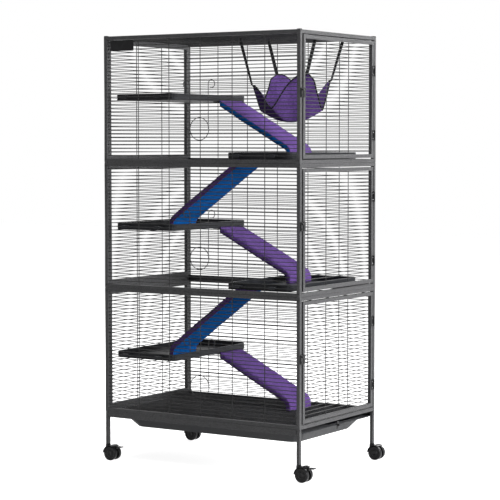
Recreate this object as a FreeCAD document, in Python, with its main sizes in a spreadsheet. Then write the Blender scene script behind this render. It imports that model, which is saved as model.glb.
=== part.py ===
import FreeCAD, Part
import math
import os
import re
import Sketcher

# A three storey wire cage on casters. X runs along the wide front from left to right, Y from the
# front to the back and Z up from the floor. The doors are on the narrow right side.

SIZES = {
    # frame of square tube
    "cage_width": 800,
    "cage_depth": 520,
    "module_height": 440,
    "frame_tube": 12.7,
    "tube_wall": 1.2,
    "leg_length": 115,
    "seam": 0.05,
    "rest_gap": 0.3,
    "joiner_length": 60,
    "cap_height": 2,
    # wire panels
    "wire_diameter": 2.5,
    "wire_pitch": 12.7,
    "front_upright_count": 5,
    "side_upright_count": 2,
    "floor_end_gap": 12,
    # doors, their hinges and their latches
    "door_hinge_gap": 3,
    "door_latch_gap": 9,
    "door_top_gap": 3,
    "door_bottom_gap": 4,
    "hinge_low": 95,
    "hinge_high": 320,
    "hinge_height": 35,
    "hinge_leaf": 1.5,
    "hinge_leaf_width": 7,
    "hinge_pin_radius": 2,
    "hinge_knuckle": 6,
    "hinge_standoff": 3.6,
    "running_gap": 0.05,
    "latch_height": 225,
    "latch_length": 30,
    "latch_width": 12,
    "latch_plate": 2,
    "latch_lever": 3,
    "latch_stud_radius": 2,
    # moulded shelves
    "shelf_length": 250,
    "shelf_depth": 465,
    "shelf_height": 21,
    "shelf_wall": 3,
    "shelf_corner": 18,
    "shelf_inset": 27,
    "platform_inset": 57,
    "lower_shelf_wire": 15,
    "middle_shelf_wire": 16,
    "upper_shelf_wire": 17,
    "platform_wire": 1,
    "hook_width": 24,
    "hook_thickness": 3,
    "hook_height": 13,
    "hook_lip": 6,
    "hook_spacing": 140,
    # ramps
    "ramp_run": 294,
    "ramp_width": 150,
    "ramp_board": 4,
    "ramp_cover": 3,
    "ramp_pad": 12,
    "ramp_side": 3,
    "ramp_foot": 34,
    "ramp_flange": 28,
    "ramp_start": 1,
    "back_ramp_y": 129,
    "front_ramp_y": -75,
    # tray and its runners
    "tray_short": 32,
    "tray_narrow": 36,
    "tray_flange": 20,
    "tray_depth": 38,
    "tray_taper": 30,
    "tray_wall": 3,
    "tray_corner": 34,
    "tray_shift": 12,
    "runner_drop": 20,
    "runner_sheet": 1.5,
    "runner_ledge": 34,
    "pull_width": 10,
    "pull_height": 26,
    "pull_plate": 2.5,
    "pull_knob_radius": 4,
    "pull_knob_length": 7,
    # hammock
    "hammock_x": 211,
    "hammock_half_length": 128,
    "hammock_half_width": 94,
    "hammock_waist": 0.14,
    "hammock_round": 0.1,
    "hammock_cloth": 3,
    "hammock_sag": 300,
    "hammock_end_drop": 262,
    "hammock_front_edge_drop": 255,
    "hammock_back_edge_drop": 250,
    "front_left_tip_drop": 172,
    "back_left_tip_drop": 130,
    "front_right_tip_drop": 133,
    "back_right_tip_drop": 158,
    "strap_spread": 149,
    "strap_wire": 11,
    "strap_width": 12,
    "strap_thickness": 2.5,
    "clip_width": 8,
    "clip_wire": 2.5,
    "clip_drop": 14,
    # bent wire holders on the front
    "holder_ring_radius": 38,
    "holder_ring_height": 116,
    "holder_loop_radius": 13,
    "holder_loop_height": 268,
    # casters with twin wheels
    "caster_height": 58,
    "caster_trail": 19,
    "wheel_radius": 25,
    "wheel_width": 14,
    "wheel_gap": 12,
    "axle_radius": 3,
    "hood_radius": 28.5,
    "hood_wall": 2.5,
    "hood_start": 65,
    "hood_sweep": 110,
    "web_width": 9,
    "hub_radius": 10,
    "boss_radius": 8,
    "boss_height": 9,
    "stem_radius": 4,
    "stem_length": 30,
    "brake_pivot_radius": 30,
    "brake_pivot_angle": 45,
    "brake_pin_radius": 2,
    "brake_cheek_radius": 3.8,
    "brake_width": 18,
    "brake_tab_length": 21,
    "brake_tab_thickness": 3,
}

MODULES = ("lower", "middle", "upper")

doc = FreeCAD.newDocument("SmallAnimalCage")
sheet = doc.addObject("Spreadsheet::Sheet", "Sizes")
for row, (alias, size) in enumerate(SIZES.items(), 1):
    sheet.set(f"A{row}", alias)
    sheet.set(f"B{row}", str(size))
    sheet.setAlias(f"B{row}", alias)
doc.recompute()

ALIASES = re.compile(r"\b(" + "|".join(SIZES) + r")\b")
NODES = []


def sized(text):
    """Turn a line of size names into an expression on the sheet."""
    return ALIASES.sub(r"Sizes.\1", text)


def value(text):
    """Work out a line of size names as a plain number."""
    return float(sheet.evalExpression(sized(text)))


def bind(thing, **formulas):
    """Tie properties of an object to the sheet; double underscores stand for dots."""
    for path, text in formulas.items():
        thing.setExpression(path.replace("__", "."), sized(str(text)))
    return thing


def keep(thing, label):
    """Name a finished sub-part and list it for export."""
    thing.Label = label
    NODES.append(thing)
    return thing


def gather(label, solids):
    """One node of several separate solids."""
    group = doc.addObject("Part::Compound", label)
    group.Links = solids
    return keep(group, label)


# Levels and planes that many pieces share

BASE = "(leg_length + caster_height)"
FLOOR = {name: f"({BASE} + {index} * module_height)" for index, name in enumerate(MODULES)}
TOP = f"({BASE} + {len(MODULES)} * module_height)"
INNER_WIDTH = "(cage_width - 2 * frame_tube - 2 * seam)"
INNER_DEPTH = "(cage_depth - 2 * frame_tube - 2 * seam)"
WIRE_Y = "(cage_depth / 2 - frame_tube / 2)"
WIRE_X = "(cage_width / 2 - frame_tube / 2)"
LAYER = "(wire_diameter + seam)"
DOOR_LOW_Y = "(-cage_depth / 2 + frame_tube + door_latch_gap)"
DOOR_HIGH_Y = "(cage_depth / 2 - frame_tube - door_hinge_gap)"
DOOR_X = "(cage_width / 2 - frame_tube)"
GRATE_Z = f"({BASE} + wire_diameter / 2 + seam)"
GRATE_TOP = f"({GRATE_Z} + {LAYER} + wire_diameter / 2)"
ROOF_Z = f"({TOP} - frame_tube / 2)"
ROOF_BARS = "floor((cage_depth - 2 * frame_tube) / wire_pitch)"
GRATE_BARS = f"({ROOF_BARS} - 2)"


def wire_level(module, index):
    """Height of one horizontal wire, counted up from the bottom rail."""
    return f"({FLOOR[module]} + frame_tube + ({index}) * wire_pitch)"


# Tools for straight bars and tubes


def bar(name, corner, size):
    """A box from its low corner and its three sizes."""
    box = doc.addObject("Part::Box", name)
    bind(box, Placement__Base__x=corner[0], Placement__Base__y=corner[1], Placement__Base__z=corner[2])
    return bind(box, Length=size[0], Width=size[1], Height=size[2])


def tube(name, axis, corner, length):
    """A square tube along one axis, open at both ends."""
    size = ["frame_tube"] * 3
    size[axis] = length
    inner_corner = [low if i == axis else f"{low} + tube_wall" for i, low in enumerate(corner)]
    inner_size = [side if i == axis else "frame_tube - 2 * tube_wall" for i, side in enumerate(size)]
    return cut(name, bar(name + "_outside", corner, size), bar(name + "_inside", inner_corner, inner_size))


def rod(name, centre, radius, length, turn=None):
    """A round rod that starts at a point; turn lays it along X or Y."""
    cylinder = doc.addObject("Part::Cylinder", name)
    if turn == "Y":
        cylinder.Placement.Rotation = FreeCAD.Rotation(FreeCAD.Vector(1, 0, 0), -90)
    if turn == "X":
        cylinder.Placement.Rotation = FreeCAD.Rotation(FreeCAD.Vector(0, 1, 0), 90)
    bind(cylinder, Placement__Base__x=centre[0], Placement__Base__y=centre[1], Placement__Base__z=centre[2])
    return bind(cylinder, Radius=radius, Height=length)


def prism(name, centre, radius, length, turn=None, sides=8):
    """A rod with flat sides, placed like a round one."""
    solid = doc.addObject("Part::Prism", name)
    solid.Polygon = sides
    if turn == "Y":
        solid.Placement.Rotation = FreeCAD.Rotation(FreeCAD.Vector(1, 0, 0), -90)
    if turn == "X":
        solid.Placement.Rotation = FreeCAD.Rotation(FreeCAD.Vector(0, 1, 0), 90)
    bind(solid, Placement__Base__x=centre[0], Placement__Base__y=centre[1], Placement__Base__z=centre[2])
    return bind(solid, Circumradius=radius, Height=length)


def bore(name, centre, radius, length, turn=None):
    """Space for a round pin: eight flats, each one running gap from it."""
    return prism(name, centre, f"({radius} + running_gap) / cos(22.5 deg)", length, turn)


def fuse(name, solids):
    joined = doc.addObject("Part::MultiFuse", name)
    joined.Shapes = solids
    return joined


def cut(name, base, tool):
    result = doc.addObject("Part::Cut", name)
    result.Base = base
    result.Tool = tool
    return result


# Tools for bodies drawn in sketches


def new_body(label):
    return keep(doc.addObject("PartDesign::Body", label), label)


def datum(body, role):
    return next(item for item in body.Origin.OriginFeatures if item.Role == role)


def sketch_on(body, role, offset=("0", "0", "0")):
    """A sketch on one of the body's own planes, moved by an offset in the sketch's axes."""
    sketch = body.newObject("Sketcher::SketchObject", body.Name + "_sketch")
    sketch.AttachmentSupport = [(datum(body, role), "")]
    sketch.MapMode = "FlatFace"
    bind(sketch, AttachmentOffset__Base__x=offset[0], AttachmentOffset__Base__y=offset[1])
    return bind(sketch, AttachmentOffset__Base__z=offset[2])


def outline(sketch, corners):
    """A closed outline of straight lines whose corners are tied to the sheet."""
    spots = [FreeCAD.Vector(value(x), value(y), 0) for x, y in corners]
    first = sketch.GeometryCount
    count = len(spots)
    for index in range(count):
        sketch.addGeometry(Part.LineSegment(spots[index], spots[(index + 1) % count]), False)
    for index, (x, y) in enumerate(corners):
        line = first + index
        sketch.addConstraint(Sketcher.Constraint("Coincident", line, 2, first + (index + 1) % count, 1))
        for kind, text in (("DistanceX", x), ("DistanceY", y)):
            number = sketch.addConstraint(Sketcher.Constraint(kind, -1, 1, line, 1, value(text)))
            sketch.setExpression(f"Constraints[{number}]", sized(text))


def arc(centre, radius, start, sweep, steps):
    """Corners along an arc, in short straight lengths."""
    corners = []
    for step in range(steps + 1):
        angle = f"(({start}) + ({sweep}) * {step} / {steps}) * 1 deg"
        x, y = f"{centre[0]} + ({radius}) * cos({angle})", f"{centre[1]} + ({radius}) * sin({angle})"
        corners.append((x, y))
    return corners


def rectangle(sketch, low, high):
    outline(sketch, [low, (high[0], low[1]), high, (low[0], high[1])])


def rounded(sketch, middle_x, half_x, half_y, radius):
    """A rectangle with round corners, each in three short straight lengths."""
    in_x, in_y = f"({half_x} - {radius})", f"({half_y} - {radius})"
    corners = []
    for start, x_sign, y_sign in ((0, "", ""), (90, "-", ""), (180, "-", "-"), (270, "", "-")):
        centre = (f"{middle_x} + {x_sign}{in_x}", f"{y_sign}{in_y}")
        corners += arc(centre, radius, start, 90, 3)
    outline(sketch, corners)


def pad(body, sketch, length, symmetric=False, reverse=False):
    feature = body.newObject("PartDesign::Pad", body.Name + "_pad")
    feature.Profile = sketch
    bind(feature, Length=length)
    feature.Reversed = reverse
    if symmetric:
        feature.SideType = "Symmetric"
    doc.recompute()
    return feature


def repeat(body, feature, axis, pitch, count):
    """Repeat a feature along one axis of the body."""
    pattern = body.newObject("PartDesign::LinearPattern", body.Name + "_row")
    pattern.Originals = [feature]
    pattern.Direction = (datum(body, axis + "_Axis"), [""])
    bind(pattern, Length=f"({count} - 1) * ({pitch})", Occurrences=count)
    body.Tip = pattern
    doc.recompute()
    return pattern


# A sketch's own axes, as indices of X, Y and Z with their signs, for wires along each axis
WIRE_PLANES = {
    "X": ("YZ_Plane", ((1, ""), (2, ""), (0, ""))),
    "Y": ("XZ_Plane", ((0, ""), (2, ""), (1, "-"))),
    "Z": ("XY_Plane", ((0, ""), (1, ""), (2, ""))),
}


def wire_row(body, along, middle, length, step, pitch, count):
    """Parallel wires of one length: the middle of the first, and the step to the next."""
    role, order = WIRE_PLANES[along]
    sketch = sketch_on(body, role, [f"{sign}({middle[index]})" for index, sign in order])
    half = "wire_diameter / 2"
    rectangle(sketch, (f"-{half}", f"-{half}"), (half, half))
    return repeat(body, pad(body, sketch, length, symmetric=True), step, pitch, count)


# Frame of each storey: four posts, with rails at top and bottom on all four sides


def frame_of(module):
    floor = FLOOR[module]
    left, right = "-cage_width / 2", "cage_width / 2 - frame_tube"
    front, back = "-cage_depth / 2", "cage_depth / 2 - frame_tube"
    pieces = []
    for x, x_name in ((left, "left"), (right, "right")):
        for y, y_name in ((front, "front"), (back, "back")):
            name = f"{module}_{y_name}_{x_name}_post"
            pieces.append(tube(name, 2, (x, y, floor), "module_height"))
    levels = ((floor, "bottom"), (f"{floor} + module_height - frame_tube", "top"))
    for z, z_name in levels:
        for y, y_name in ((front, "front"), (back, "back")):
            corner = ("-cage_width / 2 + frame_tube + seam", y, z)
            name = f"{module}_{y_name}_{z_name}_rail"
            pieces.append(tube(name, 0, corner, INNER_WIDTH))
        for x, x_name in ((left, "left"), (right, "right")):
            corner = (x, "-cage_depth / 2 + frame_tube + seam", z)
            name = f"{module}_{x_name}_{z_name}_rail"
            pieces.append(tube(name, 1, corner, INNER_DEPTH))
    gather(f"{module}_frame", pieces)


def corner_places(inset):
    """The four corners in plan, as low corners of a square that is set in from the frame."""
    for x in (f"-cage_width / 2 + {inset}", f"cage_width / 2 - frame_tube + {inset}"):
        for y in (f"-cage_depth / 2 + {inset}", f"cage_depth / 2 - frame_tube + {inset}"):
            yield x, y


def legs_and_plugs():
    """Legs below the lowest storey, plugs inside the tube joints and caps on the posts."""
    inner = "(frame_tube - 2 * tube_wall - 2 * seam)"
    inset = "tube_wall + seam"
    legs, joiners, caps, sockets = [], [], [], []
    for number, (x, y) in enumerate(corner_places("0")):
        legs.append(tube(f"leg_{number}", 2, (x, y, "caster_height"), "leg_length"))
        plate = bar(f"cap_plate_{number}", (x, y, TOP), ("frame_tube", "frame_tube", "cap_height"))
        caps.append(plate)
    for number, (x, y) in enumerate(corner_places(inset)):
        for module in MODULES:
            low = f"{FLOOR[module]} - joiner_length / 2"
            joiners.append(bar(f"{module}_joiner_{number}", (x, y, low), (inner, inner, "joiner_length")))
        depth = "joiner_length / 4"
        plug = bar(f"cap_plug_{number}", (x, y, f"{TOP} - {depth}"), (inner, inner, depth))
        caps[number] = fuse(f"cap_{number}", [caps[number], plug])
        block = bar(f"socket_block_{number}", (x, y, "caster_height"), (inner, inner, "stem_length + seam"))
        centre = (f"{x} + {inner} / 2", f"{y} + {inner} / 2", "caster_height")
        hole = bore(f"socket_hole_{number}", centre, "stem_radius", "stem_length + seam")
        sockets.append(cut(f"socket_{number}", block, hole))
    gather("legs", legs)
    gather("post_joiners", joiners)
    gather("post_caps", caps)
    gather("caster_sockets", sockets)


# Wire panels


def front_and_back_mesh(module, side, sign, inward):
    """Close horizontal wires between the posts, with a few uprights on the inside."""
    body = new_body(f"{module}_{side}_mesh")
    count = "floor((module_height - 2 * frame_tube) / wire_pitch)"
    first = ("0", f"{sign}{WIRE_Y}", wire_level(module, 1))
    wire_row(body, "X", first, INNER_WIDTH, "Z", "wire_pitch", count)
    spacing = "(cage_width - 2 * frame_tube) / (front_upright_count + 1)"
    start = f"-(front_upright_count - 1) / 2 * {spacing}"
    middle = (start, f"{sign}{WIRE_Y} {inward} {LAYER}", f"{FLOOR[module]} + module_height / 2")
    height = "module_height - 2 * frame_tube - 2 * seam"
    wire_row(body, "Z", middle, height, "X", spacing, "front_upright_count")


def framed_mesh(body, x, inward, low_y, high_y, low_z, high_z):
    """Wires inside a tube frame that stands in a plane of constant X."""
    span = f"({high_y} - {low_y})"
    middle_y = f"({low_y} + {high_y}) / 2"
    count = f"floor(({high_z} - {low_z}) / wire_pitch - 0.25)"
    first_z = f"({low_z} + {high_z}) / 2 - ({count} - 1) / 2 * wire_pitch"
    wire_row(body, "Y", (x, middle_y, first_z), f"{span} - 2 * seam", "Z", "wire_pitch", count)
    spacing = f"{span} / (side_upright_count + 1)"
    first_y = f"{low_y} + {spacing}"
    middle = (f"{x} {inward} {LAYER}", first_y, f"({low_z} + {high_z}) / 2")
    wire_row(body, "Z", middle, f"{high_z} - {low_z} - 2 * seam", "Y", spacing, "side_upright_count")


def tube_frame(prefix, x, low_y, high_y, low_z, high_z):
    """Two stiles with two rails between them, in a plane of constant X."""
    stile = f"{high_z} - {low_z}"
    rail = f"{high_y} - {low_y} - 2 * frame_tube - 2 * seam"
    inside = f"{low_y} + frame_tube + seam"
    return [
        tube(f"{prefix}_front_stile", 2, (x, low_y, low_z), stile),
        tube(f"{prefix}_back_stile", 2, (x, f"{high_y} - frame_tube", low_z), stile),
        tube(f"{prefix}_bottom_rail", 1, (x, inside, low_z), rail),
        tube(f"{prefix}_top_rail", 1, (x, inside, f"{high_z} - frame_tube"), rail),
    ]


def left_panels():
    """Framed wire panels that close the left side."""
    tubes = []
    body = new_body("left_meshes")
    low_y, high_y = "(-cage_depth / 2 + frame_tube)", "(cage_depth / 2 - frame_tube)"
    for module in MODULES:
        low_z = f"({FLOOR[module]} + frame_tube)"
        high_z = f"({FLOOR[module]} + module_height - frame_tube)"
        tubes += tube_frame(f"{module}_left", "-cage_width / 2", low_y, high_y, low_z, high_z)
        edges = (f"({low_y} + frame_tube)", f"({high_y} - frame_tube)")
        heights = (f"({low_z} + frame_tube)", f"({high_z} - frame_tube)")
        framed_mesh(body, f"-{WIRE_X}", "+", *edges, *heights)
    gather("left_panel_frames", tubes)


def roof_and_floor():
    """The roof's wires lie between the top rails, the floor's on cross wires between the bottom rails."""
    spacing = "(cage_width - 2 * frame_tube) / (front_upright_count + 1)"
    start = f"-(front_upright_count - 1) / 2 * {spacing}"
    roof = new_body("roof_mesh")
    first = ("0", f"-({ROOF_BARS} - 1) / 2 * wire_pitch", ROOF_Z)
    wire_row(roof, "X", first, INNER_WIDTH, "Y", "wire_pitch", ROOF_BARS)
    wire_row(roof, "Y", (start, "0", f"{ROOF_Z} + {LAYER}"), INNER_DEPTH, "X", spacing, "front_upright_count")
    floor = new_body("floor_grate")
    first = ("0", f"-({GRATE_BARS} - 1) / 2 * wire_pitch", f"{GRATE_Z} + {LAYER}")
    length = f"{INNER_WIDTH} - 2 * floor_end_gap"
    wire_row(floor, "X", first, length, "Y", "wire_pitch", GRATE_BARS)
    wire_row(floor, "Y", (start, "0", GRATE_Z), INNER_DEPTH, "X", spacing, "front_upright_count")


# Doors on the right side, with their hinges and latches

HINGE_X = "(cage_width / 2 + hinge_standoff)"
HINGE_Y = f"({DOOR_HIGH_Y} + door_hinge_gap / 2)"
LATCH_Y = "(-cage_depth / 2 + frame_tube / 2)"


def door_of(module):
    low_z = f"({FLOOR[module]} + frame_tube + door_bottom_gap)"
    high_z = f"({FLOOR[module]} + module_height - frame_tube - door_top_gap)"
    tubes = tube_frame(f"{module}_door", DOOR_X, DOOR_LOW_Y, DOOR_HIGH_Y, low_z, high_z)
    gather(f"{module}_door_frame", tubes)
    body = new_body(f"{module}_door_mesh")
    edges = (f"({DOOR_LOW_Y} + frame_tube)", f"({DOOR_HIGH_Y} - frame_tube)")
    heights = (f"({low_z} + frame_tube)", f"({high_z} - frame_tube)")
    framed_mesh(body, WIRE_X, "-", *edges, *heights)


def hinge_of(module, place):
    """A three knuckle hinge: the post's leaf holds the pin, the door's leaf turns on it."""
    name = f"{module}_{place}"
    middle = f"({FLOOR[module]} + {place})"
    third = "(hinge_height / 3)"
    low = f"{middle} - hinge_height / 2"
    half = "hinge_knuckle / 2"
    face = "cage_width / 2 + seam"
    reach = f"({half} + rest_gap)"
    leaf = (face, f"{HINGE_Y} + {reach}", low)
    post_parts = [bar(f"{name}_post_leaf", leaf, ("hinge_leaf", "hinge_leaf_width", "hinge_height"))]
    for level, end in ((low, "low"), (f"{low} + 2 * {third}", "high")):
        post_parts.append(prism(f"{name}_{end}_knuckle", (HINGE_X, HINGE_Y, level), half, third))
        post_parts.append(bar(f"{name}_{end}_neck", (face, HINGE_Y, level), ("hinge_leaf", reach, third)))
    pin_low = (HINGE_X, HINGE_Y, f"{low} + {third} / 2")
    pin = rod(f"{name}_pin", pin_low, "hinge_pin_radius", f"2 * {third}")
    post_leaf = fuse(f"{name}_post_side", post_parts + [pin])
    door_low = f"{low} + {third} + rest_gap"
    door_tall = f"{third} - 2 * rest_gap"
    plate = (face, f"{HINGE_Y} - {reach} - hinge_leaf_width", low)
    door_parts = [
        bar(f"{name}_door_leaf", plate, ("hinge_leaf", "hinge_leaf_width", "hinge_height")),
        bar(f"{name}_door_neck", (face, f"{HINGE_Y} - {reach}", door_low), ("hinge_leaf", reach, door_tall)),
        prism(f"{name}_door_knuckle", (HINGE_X, HINGE_Y, door_low), half, door_tall),
    ]
    solid = fuse(f"{name}_door_body", door_parts)
    hole = bore(f"{name}_door_hole", (HINGE_X, HINGE_Y, low), "hinge_pin_radius", "hinge_height")
    return post_leaf, cut(f"{name}_door_side", solid, hole)


def latch_of(module):
    """A turn latch on the front post; upright it is open, level it covers the door's strike."""
    middle = f"({FLOOR[module]} + latch_height)"
    face = "cage_width / 2 + seam"
    half = "latch_width / 2"
    corner = (face, f"{LATCH_Y} - {half}", f"{middle} - {half}")
    plate = bar(f"{module}_latch_back", corner, ("latch_plate", "latch_width", "latch_length"))
    stud_length = "latch_plate + latch_lever + 2 * rest_gap"
    stud = rod(f"{module}_latch_stud", (face, LATCH_Y, middle), "latch_stud_radius", stud_length, "X")
    head_x = f"{face} + {stud_length}"
    head_size = ("latch_stud_radius * 1.8", "latch_plate / 2")
    head = prism(f"{module}_latch_head", (head_x, LATCH_Y, middle), *head_size, "X", 6)
    lever_x = f"{face} + latch_plate + rest_gap"
    lever_corner = (lever_x, f"{LATCH_Y} - {half}", f"{middle} - {half}")
    blank = bar(f"{module}_latch_blank", lever_corner, ("latch_lever", "latch_width", "latch_length"))
    hole = bore(f"{module}_latch_hole", (lever_x, LATCH_Y, middle), "latch_stud_radius", "latch_lever", "X")
    keep(cut(f"{module}_latch", blank, hole), f"{module}_latch")
    strike = (face, DOOR_LOW_Y, f"{middle} - {half}")
    pad_on_door = bar(f"{module}_strike", strike, ("latch_plate", "latch_width", "latch_length"))
    return fuse(f"{module}_latch_plate", [plate, stud, head]), pad_on_door


def doors():
    post_leaves, latch_plates = [], []
    for module in MODULES:
        door_of(module)
        fittings = []
        for place in ("hinge_low", "hinge_high"):
            post_leaf, door_leaf = hinge_of(module, place)
            post_leaves.append(post_leaf)
            fittings.append(door_leaf)
        plate, strike = latch_of(module)
        latch_plates.append(plate)
        gather(f"{module}_door_fittings", fittings + [strike])
    gather("hinge_post_leaves", post_leaves)
    gather("latch_plates", latch_plates)


# Moulded shelves that hang by hooks on the front and back wires

SHELF_X = "(-cage_width / 2 + shelf_inset)"
PLATFORM_X = "(cage_width / 2 - platform_inset - shelf_length)"


def shelf_level(module, wire):
    return f"({wire_level(module, wire)} + wire_diameter / 2 - hook_height)"


def highest_face(shape):
    faces = list(enumerate(shape.Faces, 1))
    return "Face%d" % max(faces, key=lambda item: item[1].CenterOfMass.z)[0]


def shelf(label, left, module, wire):
    """A shallow pan with round corners and a hook at each quarter of its long sides."""
    level = shelf_level(module, wire)
    body = new_body(label)
    sketch = sketch_on(body, "XY_Plane", ("0", "0", level))
    rounded(sketch, f"({left} + shelf_length / 2)", "shelf_length / 2", "shelf_depth / 2", "shelf_corner")
    block = pad(body, sketch, "shelf_height")
    pan = body.newObject("PartDesign::Thickness", label + "_pan")
    pan.Base = (block, [highest_face(block.Shape)])
    bind(pan, Value="shelf_wall")
    pan.Reversed = True
    doc.recompute()
    hooks = sketch_on(body, "YZ_Plane", ("0", "0", f"{left} + shelf_length / 2 - hook_spacing / 2"))
    under = f"({level} + hook_height)"
    for sign in ("-", ""):
        root = f"{sign}(shelf_depth / 2 - shelf_wall / 2)"
        inner = f"{sign}({WIRE_Y} + wire_diameter / 2 + rest_gap)"
        outer = f"{sign}({WIRE_Y} + wire_diameter / 2 + rest_gap + hook_thickness)"
        upper = f"{under} + hook_thickness"
        lip = f"{under} - hook_lip"
        inside = [(root, under), (inner, under), (inner, lip)]
        outline(hooks, inside + [(outer, lip), (outer, upper), (root, upper)])
    repeat(body, pad(body, hooks, "hook_width", symmetric=True), "X", "hook_spacing", "2")


def shelves():
    for module in MODULES:
        shelf(f"{module}_shelf", SHELF_X, module, f"{module}_shelf_wire")
    for module in MODULES[1:]:
        shelf(f"{module}_platform", PLATFORM_X, module, "platform_wire")


# Ramps: a bent board in a sleeve that is padded below; the flange is under a shelf, the foot a level down


def ramp_profile(edge, way, top, foot, up, down, start, end):
    """The sloping part and the turned down foot, drawn thicker than the board by up and down."""
    slope = f"(({top} - {foot} - ramp_foot) / ramp_run)"
    stretch = f"sqrt(1 + {slope} ^ 2)"

    def corner(out, height):
        return f"{edge} {way} ({out})", height

    def upper(out):
        return f"{top} - {slope} * ({out}) + ({up}) * {stretch}"

    def lower(out):
        return f"{top} - {slope} * ({out}) - (ramp_board + {down}) * {stretch}"

    outside = f"ramp_run + {up}"
    inside = f"ramp_run - ramp_board - {down}"
    return [
        corner(start, upper(start)),
        corner(outside, upper(outside)),
        corner(outside, end),
        corner(inside, end),
        corner(inside, lower(inside)),
        corner(start, lower(start)),
    ]


def ramp(label, edge, way, middle_y, under, landing):
    """One ramp from the edge of a shelf, one way or the other, down to a landing."""
    top, foot = under, landing
    sleeve = new_body(label)
    plane = ("0", "0", f"-({middle_y})")
    sketch = sketch_on(sleeve, "XZ_Plane", plane)
    cover, padding = "(ramp_cover + seam)", "(ramp_pad + seam)"
    outline(sketch, ramp_profile(edge, way, top, foot, cover, padding, "ramp_start", foot))
    solid = pad(sleeve, sketch, "ramp_width", symmetric=True)
    hollow = sketch_on(sleeve, "XZ_Plane", plane)
    outline(hollow, ramp_profile(edge, way, top, foot, "seam", "seam", "0", f"{foot} + ramp_cover"))
    pocket = sleeve.newObject("PartDesign::Pocket", label + "_hollow")
    pocket.Profile = hollow
    bind(pocket, Length="ramp_width - 2 * ramp_side")
    pocket.SideType = "Symmetric"
    doc.recompute()
    if pocket.Shape.Volume >= solid.Shape.Volume:
        raise ValueError(label + " has no room for its board")
    slope = f"(({top} - {foot} - ramp_foot) / ramp_run)"
    bend = f"ramp_board * (1 - sqrt(1 + {slope} ^ 2)) / {slope}"
    board_end = f"{foot} + ramp_cover + seam"
    sloping = ramp_profile(edge, way, top, foot, "0", "0", "0", board_end)
    flange_end = f"{edge} {way} (-ramp_flange)"
    board = doc.addObject("PartDesign::Body", label + "_board")
    side = sketch_on(board, "XZ_Plane", plane)
    under_bend = (f"{edge} {way} ({bend})", f"{top} - ramp_board")
    outline(side, sloping[:5] + [under_bend, (flange_end, f"{top} - ramp_board"), (flange_end, top)])
    pad(board, side, "ramp_width - 2 * ramp_side - 2 * seam", symmetric=True)
    return board


def ramps():
    boards = []
    edge = f"({SHELF_X} + shelf_length)"
    landings = {"lower": GRATE_TOP}
    for module in MODULES[1:]:
        landings[module] = f"({shelf_level(module, 'platform_wire')} + shelf_wall)"
    for module in MODULES:
        under = shelf_level(module, f"{module}_shelf_wire")
        boards.append(ramp(f"{module}_back_ramp", edge, "+", "back_ramp_y", under, landings[module]))
    for below, module in zip(MODULES, MODULES[1:]):
        under = shelf_level(module, "platform_wire")
        landing = f"({shelf_level(below, f'{below}_shelf_wire')} + shelf_wall)"
        boards.append(ramp(f"{below}_front_ramp", PLATFORM_X, "-", "front_ramp_y", under, landing))
    gather("ramp_boards", boards)


# Sliding tray under the floor, on angle runners below the front and back rails

LEDGE_TOP = f"({BASE} - runner_drop + runner_sheet)"
TRAY_RIM = f"({LEDGE_TOP} + rest_gap)"
TRAY_LENGTH = "(cage_width - tray_short)"
TRAY_WIDTH = "(cage_depth - tray_narrow)"


def runners():
    body = new_body("tray_runners")
    sketch = sketch_on(body, "YZ_Plane")
    for sign in ("-", ""):
        outer = f"{sign}(cage_depth / 2)"
        web = f"{sign}(cage_depth / 2 - runner_sheet)"
        inner = f"{sign}(cage_depth / 2 - runner_ledge)"
        low, ledge, high = f"{BASE} - runner_drop", LEDGE_TOP, f"{BASE} - seam"
        corners = [(outer, low), (inner, low), (inner, ledge), (web, ledge), (web, high), (outer, high)]
        outline(sketch, corners)
    pad(body, sketch, INNER_WIDTH, symmetric=True)


def tray():
    """A pan with sloping walls, hollowed from above, and a flange that rides on the runners."""
    body = new_body("tray")
    half_x = f"({TRAY_LENGTH} / 2 - tray_flange)"
    half_y = f"({TRAY_WIDTH} / 2 - tray_flange)"
    rim = sketch_on(body, "XY_Plane", ("tray_shift", "0", TRAY_RIM))
    rounded(rim, "0", half_x, half_y, "tray_corner")
    bottom = sketch_on(body, "XY_Plane", ("tray_shift", "0", f"{TRAY_RIM} - tray_depth"))
    low_x, low_y = f"({half_x} - tray_taper)", f"({half_y} - tray_taper)"
    rounded(bottom, "0", low_x, low_y, "tray_corner")
    loft = body.newObject("PartDesign::AdditiveLoft", "tray_form")
    loft.Profile = rim
    loft.Sections = [bottom]
    doc.recompute()
    pan = body.newObject("PartDesign::Thickness", "tray_pan")
    pan.Base = (loft, [highest_face(loft.Shape)])
    bind(pan, Value="tray_wall")
    pan.Reversed = True
    doc.recompute()
    flange = sketch_on(body, "XY_Plane", ("tray_shift", "0", TRAY_RIM))
    rounded(flange, "0", f"{TRAY_LENGTH} / 2", f"{TRAY_WIDTH} / 2", "tray_flange")
    mouth_x, mouth_y = f"({half_x} - tray_wall)", f"({half_y} - tray_wall)"
    rounded(flange, "0", mouth_x, mouth_y, "(tray_corner - tray_wall)")
    pad(body, flange, "tray_wall")
    end = f"tray_shift + {TRAY_LENGTH} / 2 + seam"
    middle = f"({TRAY_RIM} + tray_wall / 2)"
    corner = (end, "-pull_width / 2", f"{middle} - pull_height / 2")
    plate = bar("pull_back", corner, ("pull_plate", "pull_width", "pull_height"))
    knob_size = ("pull_knob_radius", "pull_plate + pull_knob_length")
    knob = prism("pull_knob", (end, "0", middle), *knob_size, "X", 12)
    keep(fuse("tray_pull", [plate, knob]), "tray_pull")


# Hammock: a cloth bowl whose four corner lobes are drawn up to straps that clip on the roof's wires

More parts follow.
